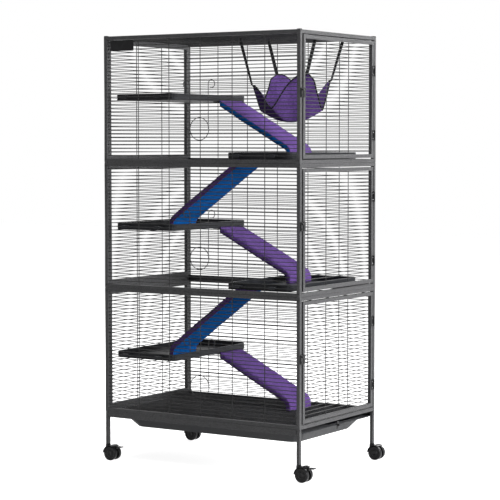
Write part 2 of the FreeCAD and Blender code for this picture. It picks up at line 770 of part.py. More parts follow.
HAMMOCK_GRID = (-1, -0.85, -0.65, -0.45, -0.22, 0, 0.22, 0.45, 0.65, 0.85, 1)
TIP_DROPS = {
    (-1, -1): "front_left_tip_drop",
    (-1, 1): "back_left_tip_drop",
    (1, -1): "front_right_tip_drop",
    (1, 1): "back_right_tip_drop",
}


def cloth_point(along, across):
    """A point of the cloth, for shares of its half length and half width from the middle."""
    side, row = math.copysign(1, along), math.copysign(1, across)
    sag, end = value("hammock_sag"), value("hammock_end_drop")
    edge = value("hammock_front_edge_drop" if row < 0 else "hammock_back_edge_drop")
    lobe = edge + end - sag - value(TIP_DROPS[side, row])
    rise = math.prod(abs(share) ** 2 * (3 - 2 * abs(share)) for share in (along, across))
    height = value(TOP) - sag + (sag - edge) * across ** 2 + (sag - end) * along ** 2 + lobe * rise
    round_off = 1 - value("hammock_round") * (along * across) ** 6
    waist = value("hammock_waist")
    out = along * (1 - waist + waist * across ** 2) * round_off
    over = across * (1 - waist + waist * along ** 2) * round_off
    x = value("hammock_x") + value("hammock_half_length") * out
    return FreeCAD.Vector(x, value("hammock_half_width") * over, height)


def hammock():
    upper = [[cloth_point(along, across) for across in HAMMOCK_GRID] for along in HAMMOCK_GRID]
    cloth = doc.addObject("Part::Feature", "hammock")
    cloth.Shape = cloth_solid(upper, value("hammock_cloth"))
    keep(cloth, "hammock")
    straps_and_clips()


def cloth_solid(upper, thickness):
    """A closed solid of flat facets between a grid of points and the same grid pushed down and out."""
    last = len(upper) - 1
    lower = []
    for i, line in enumerate(upper):
        lower.append([])
        for j, point in enumerate(line):
            along = upper[min(i + 1, last)][j] - upper[max(i - 1, 0)][j]
            across = line[min(j + 1, last)] - line[max(j - 1, 0)]
            normal = along.cross(across).normalize()
            lower[i].append(point - normal * thickness)
    facets = []
    for i in range(last):
        for j in range(last):
            for grid in (upper, lower):
                a, b, c, d = grid[i][j], grid[i + 1][j], grid[i + 1][j + 1], grid[i][j + 1]
                facets += [(a, b, c), (a, c, d)]
    rim = [(i, 0) for i in range(last)] + [(last, j) for j in range(last)]
    rim += [(i, last) for i in range(last, 0, -1)] + [(0, j) for j in range(last, 0, -1)]
    for (i, j), (m, n) in zip(rim, rim[1:] + rim[:1]):
        facets += [(upper[i][j], upper[m][n], lower[m][n]), (upper[i][j], lower[m][n], lower[i][j])]
    faces = [Part.Face(Part.makePolygon([*facet, facet[0]])) for facet in facets]
    shell = Part.makeShell(faces)
    shell.sewShape()
    return Part.Solid(shell)


def straps_and_clips():
    """Flat straps from the lobes' tips to hooks over two of the roof's wires."""
    wire_y = value(f"(({ROOF_BARS} - 1) / 2 - strap_wire) * wire_pitch")
    hook = value("wire_diameter / 2 + rest_gap")
    thick, drop, wide = value("clip_wire"), value("clip_drop"), value("clip_width")
    wire_z = value(ROOF_Z)
    straps, clips = [], []
    for side in (-1, 1):
        for sign in (-1, 1):
            clip_x = value("hammock_x") + side * value("strap_spread")
            near, far = sign * (wire_y - hook), sign * (wire_y + hook)
            near_out, far_out = near - sign * thick, far + sign * thick
            rest = value("wire_diameter / 2")
            profile = [
                (near, -drop), (near, rest), (far, rest), (far, -thick),
                (far_out, -thick), (far_out, rest + thick), (near_out, rest + thick), (near_out, -drop),
            ]
            points = [FreeCAD.Vector(clip_x - wide / 2, y, wire_z + z) for y, z in profile]
            face = Part.Face(Part.makePolygon(points + points[:1]))
            clips.append(face.extrude(FreeCAD.Vector(wide, 0, 0)))
            low = cloth_point(side, sign) + FreeCAD.Vector(0, 0, value("seam"))
            high = FreeCAD.Vector(clip_x, (near + near_out) / 2, wire_z - drop)
            straps.append(strap_between(low, high))
    for label, solids in (("hammock_straps", straps), ("hammock_clips", clips)):
        group = doc.addObject("Part::Feature", label)
        group.Shape = Part.makeCompound(solids)
        keep(group, label)


def strap_between(low, high):
    half_width, half_thickness = value("strap_width") / 2, value("strap_thickness") / 2
    ends = []
    for spot in (low, high):
        around = ((-1, -1), (1, -1), (1, 1), (-1, 1))
        points = [spot + FreeCAD.Vector(a * half_width, b * half_thickness, 0) for a, b in around]
        ends.append(Part.makePolygon(points + points[:1]))
    return Part.makeLoft(ends, True, True)


# Bent wire holders on the outside of the front: a ring between two legs with curled ends


def holder(module):
    ring_z = f"({FLOOR[module]} + holder_ring_height)"
    loop_z = f"({FLOOR[module]} + holder_loop_height)"
    ring_y = f"(-{WIRE_Y} - {LAYER})"
    leg_y = f"(-{WIRE_Y} - 2 * {LAYER})"
    half = "wire_diameter / 2"
    pieces = [bent_wire(f"{module}_ring", "0", ring_y, ring_z, "holder_ring_radius", 16)]
    for sign in ("-", ""):
        name = f"{module}_holder_{'left' if sign else 'right'}"
        centre = f"{sign}(holder_ring_radius + holder_loop_radius)"
        loop = bent_wire(f"{name}_loop", centre, leg_y, loop_z, "holder_loop_radius", 12)
        gap_x = f"{centre} + holder_loop_radius / 2" if sign else f"{centre} - 1.2 * holder_loop_radius"
        opening = (gap_x, f"{leg_y} - holder_loop_radius", f"{loop_z} - 1.2 * holder_loop_radius")
        gap = ("0.7 * holder_loop_radius", "2 * holder_loop_radius", "1.2 * holder_loop_radius")
        space = bar(f"{name}_gap", opening, gap)
        curl = cut(f"{name}_curl", loop, space)
        corner = (f"{sign}(holder_ring_radius) - {half}", f"{leg_y} - {half}", ring_z)
        leg = bar(f"{name}_leg", corner, ("wire_diameter", "wire_diameter", f"{loop_z} - {ring_z}"))
        pieces.append(fuse(name, [leg, curl]))
    return pieces


def bent_wire(name, x, y, z, radius, sides):
    """A ring of wire in short straight lengths, round an axis that points to the back."""
    half = "wire_diameter / 2"
    low = f"{y} - {half}"
    outside = prism(name + "_outside", (x, low, z), f"{radius} + {half}", "wire_diameter", "Y", sides)
    inside = prism(name + "_inside", (x, low, z), f"{radius} - {half}", "wire_diameter", "Y", sides)
    return cut(name, outside, inside)


def holders():
    pieces = []
    for module in MODULES:
        pieces += holder(module)
    gather("wire_holders", pieces)


# Casters: a hood on a stem, twin wheels on one axle, and a brake lever on the front pair


def plate(name, y, width, corners):
    """A plate that stands across Y, centred on a plane, with an outline in X and Z."""
    body = doc.addObject("PartDesign::Body", name)
    sketch = sketch_on(body, "XZ_Plane", ("0", "0", f"-({y})"))
    outline(sketch, corners)
    pad(body, sketch, width, symmetric=True)
    return body


def caster(name, x, y, braked):
    """One caster below the leg at x and y; its wheels trail to the right."""
    wheel_x, wheel_z = f"({x} + caster_trail)", "wheel_radius"
    full = "(wheel_gap + 2 * wheel_width)"
    centre = (wheel_x, wheel_z)
    sweep = ("hood_start", "hood_sweep", 8)
    outside = arc(centre, "hood_radius", *sweep)
    inside = arc(centre, "hood_radius - hood_wall", *sweep)
    fender = plate(f"{name}_fender", y, full, outside + inside[::-1])
    web = plate(f"{name}_web", y, "web_width", [centre] + arc(centre, "hood_radius - hood_wall / 2", *sweep))
    hub_low = f"{y} - web_width / 2"
    hub = prism(f"{name}_hub", (wheel_x, hub_low, wheel_z), "hub_radius", "web_width", "Y")
    boss_z = "caster_height - boss_height"
    boss = prism(f"{name}_boss", (x, y, boss_z), "boss_radius", "boss_height - rest_gap", None, 12)
    neck_corner = (f"{x} - boss_radius", hub_low, "wheel_radius + hub_radius")
    neck_size = ("2 * boss_radius", "web_width", f"{boss_z} - wheel_radius - hub_radius + boss_height / 2")
    neck = bar(f"{name}_neck", neck_corner, neck_size)
    stem = rod(f"{name}_stem", (x, y, boss_z), "stem_radius", "boss_height + stem_length")
    pieces = [fender, web, hub, boss, neck, stem]
    if braked:
        pieces += brake_lug(name, wheel_x, y)
    solid = fuse(f"{name}_hood_body", pieces)
    hole = bore(f"{name}_bore", (wheel_x, hub_low, wheel_z), "axle_radius", "web_width", "Y")
    keep(cut(f"{name}_caster_hood", solid, hole), f"{name}_caster_hood")
    wheels(name, wheel_x, y)
    if braked:
        brake(name, wheel_x, y)


def wheels(name, wheel_x, y):
    """Both wheels and the axle that they turn with."""
    pieces = []
    for side, start in (("front", "-wheel_gap / 2 - wheel_width"), ("back", "wheel_gap / 2")):
        centre = (wheel_x, f"{y} + ({start})", "wheel_radius")
        pieces.append(prism(f"{name}_{side}_wheel", centre, "wheel_radius", "wheel_width", "Y", 36))
    low = (wheel_x, f"{y} - wheel_gap / 2 - wheel_width / 2", "wheel_radius")
    pieces.append(rod(f"{name}_axle", low, "axle_radius", "wheel_gap + wheel_width", "Y"))
    keep(fuse(f"{name}_caster_wheels", pieces), f"{name}_caster_wheels")


def brake_pivot(wheel_x):
    x = f"({wheel_x} + brake_pivot_radius * cos(brake_pivot_angle * 1 deg))"
    z = "(wheel_radius + brake_pivot_radius * sin(brake_pivot_angle * 1 deg))"
    return x, z


def brake_lug(name, wheel_x, y):
    """An ear on the hood with the pin that the brake lever turns on."""
    x, z = brake_pivot(wheel_x)
    ear_radius = "brake_cheek_radius - rest_gap"
    ear = prism(f"{name}_ear", (x, f"{y} - web_width / 2", z), ear_radius, "web_width", "Y")
    arm_corner = (wheel_x, f"{y} - web_width / 2", f"{z} - 2 * ({ear_radius})")
    arm = bar(f"{name}_arm", arm_corner, (f"{x} - {wheel_x}", "web_width", f"2 * ({ear_radius})"))
    pin = rod(f"{name}_brake_pin", (x, f"{y} - brake_width / 2", z), "brake_pin_radius", "brake_width", "Y")
    return [ear, arm, pin]


def brake(name, wheel_x, y):
    """A lever with a cheek on each side of the ear and a foot tab that stands out behind."""
    x, z = brake_pivot(wheel_x)
    low_y = f"{y} - brake_width / 2"
    boss = prism(f"{name}_lever_boss", (x, low_y, z), "brake_cheek_radius", "brake_width", "Y")
    tab_z = f"{z} + brake_cheek_radius - brake_tab_thickness"
    tab_size = ("brake_tab_length", "brake_width", "brake_tab_thickness")
    tab = bar(f"{name}_lever_tab", (x, low_y, tab_z), tab_size)
    solid = fuse(f"{name}_lever_body", [boss, tab])
    gap = "web_width + 2 * rest_gap"
    reach = "2 * brake_cheek_radius + rest_gap"
    slot_corner = (f"{x} - {reach}", f"{y} - ({gap}) / 2", f"{z} - {reach}")
    slot = bar(f"{name}_lever_slot", slot_corner, (f"2 * ({reach})", gap, f"2 * ({reach})"))
    hole = bore(f"{name}_lever_hole", (x, low_y, z), "brake_pin_radius", "brake_width", "Y")
    keep(cut(f"{name}_brake", solid, fuse(f"{name}_lever_space", [slot, hole])), f"{name}_brake")


def casters():
    for x_sign, x_name in (("-", "left"), ("", "right")):
        for y_sign, y_name in (("-", "front"), ("", "back")):
            leg_x = f"{x_sign}{WIRE_X}"
            leg_y = f"{y_sign}{WIRE_Y}"
            caster(f"{y_name}_{x_name}", leg_x, leg_y, y_name == "front")


def check():
    """Stop before anything is written if a piece failed to build."""
    for item in doc.Objects:
        if "Invalid" in item.State or "Error" in item.State:
            raise ValueError(f"{item.Label} failed: {item.State}")
    for node in NODES:
        if node.Shape.isNull() or not node.Shape.isValid() or not node.Shape.Solids:
            raise ValueError(f"{node.Label} has no valid solid")


for storey in MODULES:
    frame_of(storey)
    front_and_back_mesh(storey, "front", "-", "+")
    front_and_back_mesh(storey, "back", "", "-")
legs_and_plugs()
left_panels()
roof_and_floor()
doors()
shelves()
ramps()
runners()
tray()
hammock()
holders()
casters()
doc.recompute()
check()

os.makedirs("parts", exist_ok=True)
for node in NODES:
    node.Shape.exportStep(f"parts/{node.Label}.step")
print(len(NODES), "sub-parts,", sum(len(node.Shape.Solids) for node in NODES), "solids")
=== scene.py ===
import math

import bmesh
import bpy
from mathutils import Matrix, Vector, noise


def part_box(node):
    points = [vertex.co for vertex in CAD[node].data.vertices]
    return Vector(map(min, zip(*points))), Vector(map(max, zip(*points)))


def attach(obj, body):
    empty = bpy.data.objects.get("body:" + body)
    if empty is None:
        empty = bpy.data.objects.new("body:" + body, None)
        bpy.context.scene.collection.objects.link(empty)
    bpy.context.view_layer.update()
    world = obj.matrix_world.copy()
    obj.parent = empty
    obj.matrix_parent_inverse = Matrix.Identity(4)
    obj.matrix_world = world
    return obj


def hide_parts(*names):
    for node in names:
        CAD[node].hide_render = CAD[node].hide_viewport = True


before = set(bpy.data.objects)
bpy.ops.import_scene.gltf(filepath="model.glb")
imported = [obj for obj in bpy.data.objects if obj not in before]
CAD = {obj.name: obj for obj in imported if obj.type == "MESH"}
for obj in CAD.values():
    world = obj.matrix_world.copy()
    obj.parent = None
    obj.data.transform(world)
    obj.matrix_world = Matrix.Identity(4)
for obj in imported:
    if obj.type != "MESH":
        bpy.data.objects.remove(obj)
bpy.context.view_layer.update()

bl_info = {
    "name": "Small Animal Cage",
    "version": (1, 0, 0),
    "blender": (4, 5, 0),
    "location": "View3D > Sidebar > Cage",
    "description": "Dresses a three storey wire cage on casters",
    "category": "Object",
}

STOREYS = ("lower", "middle", "upper")
SHELVES = ("lower_shelf", "middle_shelf", "upper_shelf", "middle_platform", "upper_platform")
CORNERS = ("front_left", "front_right", "back_left", "back_right")


# Sizes and colours that a user would change


class CageSizes(bpy.types.PropertyGroup):
    """Sizes of the dressing, in metres."""

    tube_edge: bpy.props.FloatProperty(
        name="Tube edge", default=0.0021, unit="LENGTH",
        description="Radius of the frame tube's edges")
    wire_edge: bpy.props.FloatProperty(
        name="Wire edge", default=0.00073, unit="LENGTH",
        description="Rounding that turns a square wire round")
    mould_edge: bpy.props.FloatProperty(
        name="Mould edge", default=0.0012, unit="LENGTH",
        description="Radius of the moulded edges")
    shelf_bead: bpy.props.FloatProperty(
        name="Shelf bead", default=0.0021, unit="LENGTH",
        description="Radius of the rolled bead on a shelf's rim")
    holder_wire: bpy.props.FloatProperty(
        name="Holder wire", default=0.00125, unit="LENGTH",
        description="Radius of the bent wire holders")
    holder_ring: bpy.props.FloatProperty(
        name="Holder ring", default=0.038, unit="LENGTH",
        description="Radius of a holder's ring")
    holder_curl: bpy.props.FloatProperty(
        name="Holder curl", default=0.013, unit="LENGTH",
        description="Radius of a holder's curled ends")
    ramp_run: bpy.props.FloatProperty(
        name="Ramp run", default=0.294, unit="LENGTH",
        description="Length of a ramp in plan")
    ramp_foot: bpy.props.FloatProperty(
        name="Ramp foot", default=0.034, unit="LENGTH",
        description="Height of the foot at a ramp's end")
    ramp_board: bpy.props.FloatProperty(
        name="Ramp board", default=0.004, unit="LENGTH",
        description="Thickness of the board in a sleeve")
    sleeve_cover: bpy.props.FloatProperty(
        name="Sleeve cover", default=0.003, unit="LENGTH",
        description="Thickness of the fleece over the board")
    sleeve_pad: bpy.props.FloatProperty(
        name="Sleeve padding", default=0.012, unit="LENGTH",
        description="Thickness of the padding under the board")
    sleeve_swell: bpy.props.FloatProperty(
        name="Sleeve swell", default=0.0035, unit="LENGTH",
        description="Most that the padding may bulge")
    hammock_half_length: bpy.props.FloatProperty(
        name="Hammock half length", default=0.128, unit="LENGTH",
        description="Half the hammock's length in plan")
    hammock_half_width: bpy.props.FloatProperty(
        name="Hammock half width", default=0.094, unit="LENGTH",
        description="Half the hammock's width in plan")
    hammock_cloth: bpy.props.FloatProperty(
        name="Hammock cloth", default=0.0022, unit="LENGTH",
        description="Thickness of the hammock's fleece")
    binding: bpy.props.FloatProperty(
        name="Binding", default=0.0055, unit="LENGTH",
        description="Width of the tape on the hammock's edge")
    strap_width: bpy.props.FloatProperty(
        name="Strap width", default=0.012, unit="LENGTH",
        description="Width of the hammock's webbing")


class CageColours(bpy.types.PropertyGroup):
    """Colours of the finishes."""

    paint: bpy.props.FloatVectorProperty(
        name="Paint", default=(0.052, 0.052, 0.054, 1), subtype="COLOR", size=4,
        description="Hammered paint on the tubes")
    wire: bpy.props.FloatVectorProperty(
        name="Wire", default=(0.03, 0.03, 0.031, 1), subtype="COLOR", size=4,
        description="Paint on the wires")
    plastic: bpy.props.FloatVectorProperty(
        name="Plastic", default=(0.016, 0.017, 0.02, 1), subtype="COLOR", size=4,
        description="Moulded shelves and tray")
    caster: bpy.props.FloatVectorProperty(
        name="Caster", default=(0.01, 0.01, 0.011, 1), subtype="COLOR", size=4,
        description="Casters, caps and the bare plate")
    hardware: bpy.props.FloatVectorProperty(
        name="Hardware", default=(0.012, 0.012, 0.013, 1), subtype="COLOR", size=4,
        description="Hinges, latches, clips and the tray's pull")
    purple: bpy.props.FloatVectorProperty(
        name="Purple", default=(0.122, 0.064, 0.245, 1), subtype="COLOR", size=4,
        description="Fleece on the ramps' upper sides and the hammock")
    blue: bpy.props.FloatVectorProperty(
        name="Blue", default=(0.006, 0.125, 0.46, 1), subtype="COLOR", size=4,
        description="Fleece on the ramps' under sides")
    webbing: bpy.props.FloatVectorProperty(
        name="Webbing", default=(0.01, 0.01, 0.011, 1), subtype="COLOR", size=4,
        description="Straps and bound edges")


def sizes():
    return bpy.context.scene.cage_sizes


def colours():
    return bpy.context.scene.cage_colours


# Shader nodes


def add_node(tree, kind, links=None, **settings):
    """A node with its settings; each entry of links is another node's output or a plain value."""
    node = tree.nodes.new(kind)
    for key, setting in settings.items():
        setattr(node, key, setting)
    for key, source in (links or {}).items():
        socket = node.inputs[key]
        if isinstance(source, bpy.types.NodeSocket):
            tree.links.new(source, socket)
        else:
            socket.default_value = source
    return node


def object_place(tree):
    """Places on the object's own axes, which every texture follows."""
    return add_node(tree, "ShaderNodeTexCoord").outputs["Object"]


def mottle(tree, place, scale, detail, **more):
    """A noise texture; more holds its other inputs by name."""
    return add_node(tree, "ShaderNodeTexNoise", {"Vector": place, "Scale": scale, "Detail": detail, **more})


def combine(tree, operation, *values, **settings):
    """The result of one sum on outputs or plain values."""
    total = add_node(tree, "ShaderNodeMath", dict(enumerate(values)), operation=operation, **settings)
    return total.outputs[0]


def span(tree, value, low=0.0, high=1.0, to_low=0.0, to_high=1.0):
    """A value moved from one range to another and kept within it."""
    ends = {"From Min": low, "From Max": high, "To Min": to_low, "To Max": to_high}
    return add_node(tree, "ShaderNodeMapRange", {"Value": value, **ends}).outputs["Result"]


def mix(tree, mask, first, last):
    """Two colours blended by a mask."""
    blend = add_node(tree, "ShaderNodeMix", {"Factor": mask, "A": first, "B": last}, data_type="RGBA")
    return blend.outputs["Result"]


def new_group(name, inputs, outputs):
    """An empty shader group with float inputs and outputs, and its two end nodes."""
    tree = bpy.data.node_groups.new(name, "ShaderNodeTree")
    for label, default in inputs:
        socket = tree.interface.new_socket(label, in_out="INPUT", socket_type="NodeSocketFloat")
        socket.default_value = default
    for label in outputs:
        tree.interface.new_socket(label, in_out="OUTPUT", socket_type="NodeSocketFloat")
    return tree, tree.nodes.new("NodeGroupInput"), tree.nodes.new("NodeGroupOutput")


# Shared effects


def hammered_group():
    """The pooled veins of hammered paint, with a fine speckle and a slow drift of tone."""
    tree, given, result = new_group("Hammered Paint", [("Scale", 260.0)], ["Tone", "Height"])
    place = object_place(tree)
    warp = mottle(tree, place, scale=120.0, detail=2.0).outputs["Color"]
    moved = {"Fac": 0.006, "Color1": place, "Color2": warp}
    bent = add_node(tree, "ShaderNodeMixRGB", moved, blend_type="ADD")
    cells = {"Vector": bent.outputs[0], "Scale": given.outputs["Scale"]}
    pools = add_node(tree, "ShaderNodeTexVoronoi", cells, feature="DISTANCE_TO_EDGE")
    speckle = mottle(tree, place, scale=1500.0, detail=3.0).outputs["Fac"]
    drift = mottle(tree, place, scale=7.0, detail=4.0).outputs["Fac"]
    veins = span(tree, pools.outputs["Distance"], low=0.02, high=0.22, to_high=0.7)
    fine = combine(tree, "MULTIPLY_ADD", speckle, 0.35, veins)
    tone = combine(tree, "MULTIPLY_ADD", drift, 0.3, fine)
    tree.links.new(span(tree, tone, low=0.3, high=1.1), result.inputs["Tone"])
    tree.links.new(veins, result.inputs["Height"])
    return tree


def mould_group():
    """The fine grain of moulded plastic, with soft scuffs."""
    tree, given, result = new_group("Moulded Grain", [("Scale", 1400.0)], ["Scuff", "Height"])
    place = object_place(tree)
    grain = mottle(tree, place, given.outputs["Scale"], detail=2.0).outputs["Fac"]
    scuffs = mottle(tree, place, scale=24.0, detail=8.0, Roughness=0.7, Distortion=1.2).outputs["Fac"]
    tree.links.new(span(tree, scuffs, low=0.45, high=0.8), result.inputs["Scuff"])
    tree.links.new(grain, result.inputs["Height"])
    return tree


def fleece_group():
    """Short pile that clumps and lies in patches."""
    tree, given, result = new_group("Fleece Pile", [("Scale", 420.0)], ["Nap", "Height"])
    place = object_place(tree)
    fibres = mottle(tree, place, given.outputs["Scale"], detail=6.0, Roughness=0.75).outputs["Fac"]
    clumps = add_node(tree, "ShaderNodeTexVoronoi", {"Vector": place, "Scale": 230.0}, feature="SMOOTH_F1")
    patches = mottle(tree, place, scale=18.0, detail=3.0).outputs["Fac"]
    pile = combine(tree, "SUBTRACT", fibres, clumps.outputs["Distance"])
    nap = combine(tree, "ADD", pile, patches)
    tree.links.new(span(tree, nap, low=0.1, high=1.1), result.inputs["Nap"])
    tree.links.new(pile, result.inputs["Height"])
    return tree


def weave_group():
    """Crossing threads of a narrow webbing, which are both its tone and its relief."""
    tree, given, result = new_group("Webbing Weave", [("Scale", 300.0)], ["Thread"])
    place = object_place(tree)
    threads = {"Vector": place, "Scale": given.outputs["Scale"], "Distortion": 0.6, "Detail": 1.0}
    waves = []
    for direction in ("Z", "DIAGONAL"):
        wave = add_node(tree, "ShaderNodeTexWave", threads, bands_direction=direction)
        waves.append(wave.outputs["Fac"])
    tree.links.new(combine(tree, "MULTIPLY", *waves), result.inputs["Thread"])
    return tree


def wear_and_shade_group():
    """Rubbed edges where the surface turns out, broken up by noise, and painted shade where pieces meet:
    ambient occlusion darkens crevices and joints.
    """
    tree, given, result = new_group("Rubbed Edges and Crevice Shade", [("Amount", 0.5)], ["Wear", "Crevice Shade"])
    turned_out = add_node(tree, "ShaderNodeNewGeometry").outputs["Pointiness"]
    broken = mottle(tree, object_place(tree), scale=60.0, detail=6.0).outputs["Fac"]
    rubbed = combine(tree, "MULTIPLY", span(tree, turned_out, low=0.51, high=0.62), broken)
    wear = combine(tree, "MULTIPLY", rubbed, given.outputs["Amount"], use_clamp=True)
    # Painted shade: ambient occlusion marks crevices and joints between pieces, which the finishes darken
    open_sky = add_node(tree, "ShaderNodeAmbientOcclusion", {"Distance": 0.005}, samples=8).outputs["AO"]
    tree.links.new(wear, result.inputs["Wear"])
    tree.links.new(span(tree, open_sky, low=0.9, high=0.45, to_high=0.85), result.inputs["Crevice Shade"])
    return tree


EFFECTS = {
    "Hammered Paint": hammered_group,
    "Moulded Grain": mould_group,
    "Fleece Pile": fleece_group,
    "Webbing Weave": weave_group,
    "Rubbed Edges and Crevice Shade": wear_and_shade_group,
}


def effect(tree, name, **values):
    """One of the shared groups, placed in a material with its own values."""
    node = add_node(tree, "ShaderNodeGroup", node_tree=bpy.data.node_groups.get(name) or EFFECTS[name]())
    for key, setting in values.items():
        node.inputs[key].default_value = setting
    return node


# Finishes: a rubbed edge is a share of the colour's light end, and painted shade in crevices a share of its
# dark end

RUBBED = 2.4
# How dark the painted shade in crevices is, as a share of the finish's dark end
PAINTED_SHADE = 0.15
FINISHES = {}


def shade(colour, factor):
    return (*[min(1.0, channel * factor) for channel in colour[:3]], 1.0)


def between(colour, low, high):
    """The dark and the light end of a finish's colour."""
    return shade(colour, low), shade(colour, high)


def finish_material(name, group, scale, tones, rough, relief, wear=0.0, **constants):
    """A finish that follows an effect's outputs: the first gives tone and roughness, the last relief."""
    material = bpy.data.materials.new(name)
    material.use_nodes = True
    tree = material.node_tree
    shader = tree.nodes["Principled BSDF"]
    surface = effect(tree, group, Scale=scale)
    tone, height = surface.outputs[0], surface.outputs[-1]
    dark, light = tones
    colour = mix(tree, tone, dark, light)
    if wear:
        wear_and_shade = effect(tree, "Rubbed Edges and Crevice Shade", Amount=wear)
        colour = mix(tree, wear_and_shade.outputs["Wear"], colour, shade(light, RUBBED))
        # Painted shade: crevices and joints are darkened towards the dark end by ambient occlusion
        colour = mix(tree, wear_and_shade.outputs["Crevice Shade"], colour, shade(dark, PAINTED_SHADE))
    smoothest, roughest = rough
    strength, distance = relief
    bump = add_node(tree, "ShaderNodeBump", {"Height": height, "Strength": strength, "Distance": distance})
    tree.links.new(colour, shader.inputs["Base Color"])
    tree.links.new(span(tree, tone, to_low=smoothest, to_high=roughest), shader.inputs["Roughness"])
    tree.links.new(bump.outputs["Normal"], shader.inputs["Normal"])
    for key, setting in constants.items():
        shader.inputs[key.replace("_", " ")].default_value = setting
    return material


def make_finishes():
    """Every finish of the cage, by name."""
    shown = colours()
    finish = {}
    finish["paint"] = finish_material(
        "hammered_paint", "Hammered Paint", 330.0, between(shown.paint, 0.55, 1.6), rough=(0.34, 0.5),
        relief=(0.45, 0.0005), wear=0.25, Metallic=0.12, Specular_IOR_Level=0.15)
    finish["wire"] = finish_material(
        "wire_paint", "Hammered Paint", 700.0, between(shown.wire, 0.6, 1.3), rough=(0.4, 0.55),
        relief=(0.2, 0.0003), Metallic=0.15, Specular_IOR_Level=0.25)
    finish["plastic"] = finish_material(
        "moulded_plastic", "Moulded Grain", 1400.0, between(shown.plastic, 0.8, 1.6), rough=(0.42, 0.6),
        relief=(0.3, 0.0004), wear=0.3, Specular_IOR_Level=0.16)
    finish["caster"] = finish_material(
        "caster_plastic", "Moulded Grain", 1800.0, between(shown.caster, 0.8, 1.7), rough=(0.28, 0.45),
        relief=(0.15, 0.0003), wear=0.2, Specular_IOR_Level=0.14)
    finish["hardware"] = finish_material(
        "black_hardware", "Hammered Paint", 900.0, between(shown.hardware, 0.7, 1.6), rough=(0.3, 0.45),
        relief=(0.2, 0.0002), wear=0.3, Metallic=0.1, Specular_IOR_Level=0.2)
    for name, colour in (("purple", shown.purple), ("blue", shown.blue)):
        finish[name] = finish_material(
            f"{name}_fleece", "Fleece Pile", 420.0, between(colour, 0.6, 1.3), rough=(0.88, 1.0),
            relief=(0.65, 0.0016), Specular_IOR_Level=0.05, Sheen_Weight=0.14, Sheen_Roughness=0.4,
            Sheen_Tint=shade(colour, 3.0))
    finish["webbing"] = finish_material(
        "black_webbing", "Webbing Weave", 300.0, between(shown.webbing, 0.7, 2.4), rough=(0.6, 0.8),
        relief=(0.5, 0.0006), Specular_IOR_Level=0.1)
    finish["steel"] = finish_material(
        "plated_steel", "Moulded Grain", 900.0, ((0.3, 0.3, 0.31, 1), (0.5, 0.5, 0.51, 1)), rough=(0.22, 0.4),
        relief=(0.1, 0.0002), Metallic=1.0)
    return finish


def coat(name):
    """A finish, made with all the others when the first one is asked for."""
    if not FINISHES:
        FINISHES.update(make_finishes())
    return FINISHES[name]


# Meshes: lengths are in metres and a screw's profile is shares of its radius with heights

SAME_SPOT = 1e-6
BEVEL_ANGLE = math.radians(40)
SPLIT_ANGLE = math.radians(50)
TUBE_EDGE_LENGTH = 0.03
TUBE_EDGE_TURN = 1.0
METAL_EDGE = 0.0004
PRESSED_EDGE = 0.0006
SCREW = ((0.95, -0.0002), (1.0, 0.0003), (0.84, 0.0008), (0.47, 0.0011), (0.1, 0.0012))
SCREW_SIDES = 20


def piece(name, points, faces, body, materials, smooth=True):
    """A new mesh piece, its faces turned outward, that rides on a body."""
    mesh = bpy.data.meshes.new(name)
    mesh.from_pydata([tuple(point) for point in points], [], faces)
    turned = bmesh.new()
    turned.from_mesh(mesh)
    bmesh.ops.recalc_face_normals(turned, faces=turned.faces)
    turned.to_mesh(mesh)
    turned.free()
    made = bpy.data.objects.new(name, mesh)
    bpy.context.scene.collection.objects.link(made)
    for material in materials:
        mesh.materials.append(material)
    if smooth:
        mesh.polygons.foreach_set("use_smooth", [True] * len(mesh.polygons))
    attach(made, body)
    return made


def loft(rings, closed=True, capped=False, joined=False):
    """Points and faces of a skin through rings of equal count; joined runs on from the last to the first."""
    count = len(rings[0])
    points = [point for ring in rings for point in ring]
    faces = []
    steps = count if closed else count - 1
    rows = len(rings) if joined else len(rings) - 1
    for i in range(rows):
        here, there = i * count, (i + 1) % len(rings) * count
        for j in range(steps):
            k = (j + 1) % count
            faces.append((here + j, here + k, there + k, there + j))
    if capped:
        faces.append(tuple(range(count))[::-1])
        faces.append(tuple((len(rings) - 1) * count + j for j in range(count)))
    return points, faces


def gather(skins):
    """Several skins as one list of points and faces."""
    points, faces = [], []
    for more, loops in skins:
        base = len(points)
        points += more
        faces += [tuple(base + index for index in loop) for loop in loops]
    return points, faces


def lathe(profile, centre, axis, segments):
    """Turns a profile of (radius, distance) about a line through a centre, along X or Y."""
    rings = []
    for radius, out in profile:
        ring = []
        for step in range(segments):
            angle = 2 * math.pi * step / segments
            side, up = radius * math.cos(angle), radius * math.sin(angle)
            ring.append(centre + Vector((side, out, up) if axis == "Y" else (out, side, up)))
        rings.append(ring)
    return loft(rings, capped=True)


def circle(centre, radius, start, sweep, steps):
    """Points round an axis along Y, in a plane of constant y; angles in degrees from +X to +Z."""
    points = []
    for step in range(steps + 1):
        angle = math.radians(start + sweep * step / steps)
        points.append(centre + Vector((radius * math.cos(angle), 0, radius * math.sin(angle))))
    return points


def rounded_outline(low, high, radius, steps):
    """Pairs of places along a rectangle with round corners, from its low and high corner."""
    left, bottom = low[0] + radius, low[1] + radius
    right, top = high[0] - radius, high[1] - radius
    points = []
    for across, up, start in ((right, top, 0), (left, top, 90), (left, bottom, 180), (right, bottom, 270)):
        for step in range(steps + 1):
            angle = math.radians(start + 90 * step / steps)
            points.append((across + radius * math.cos(angle), up + radius * math.sin(angle)))
    return points


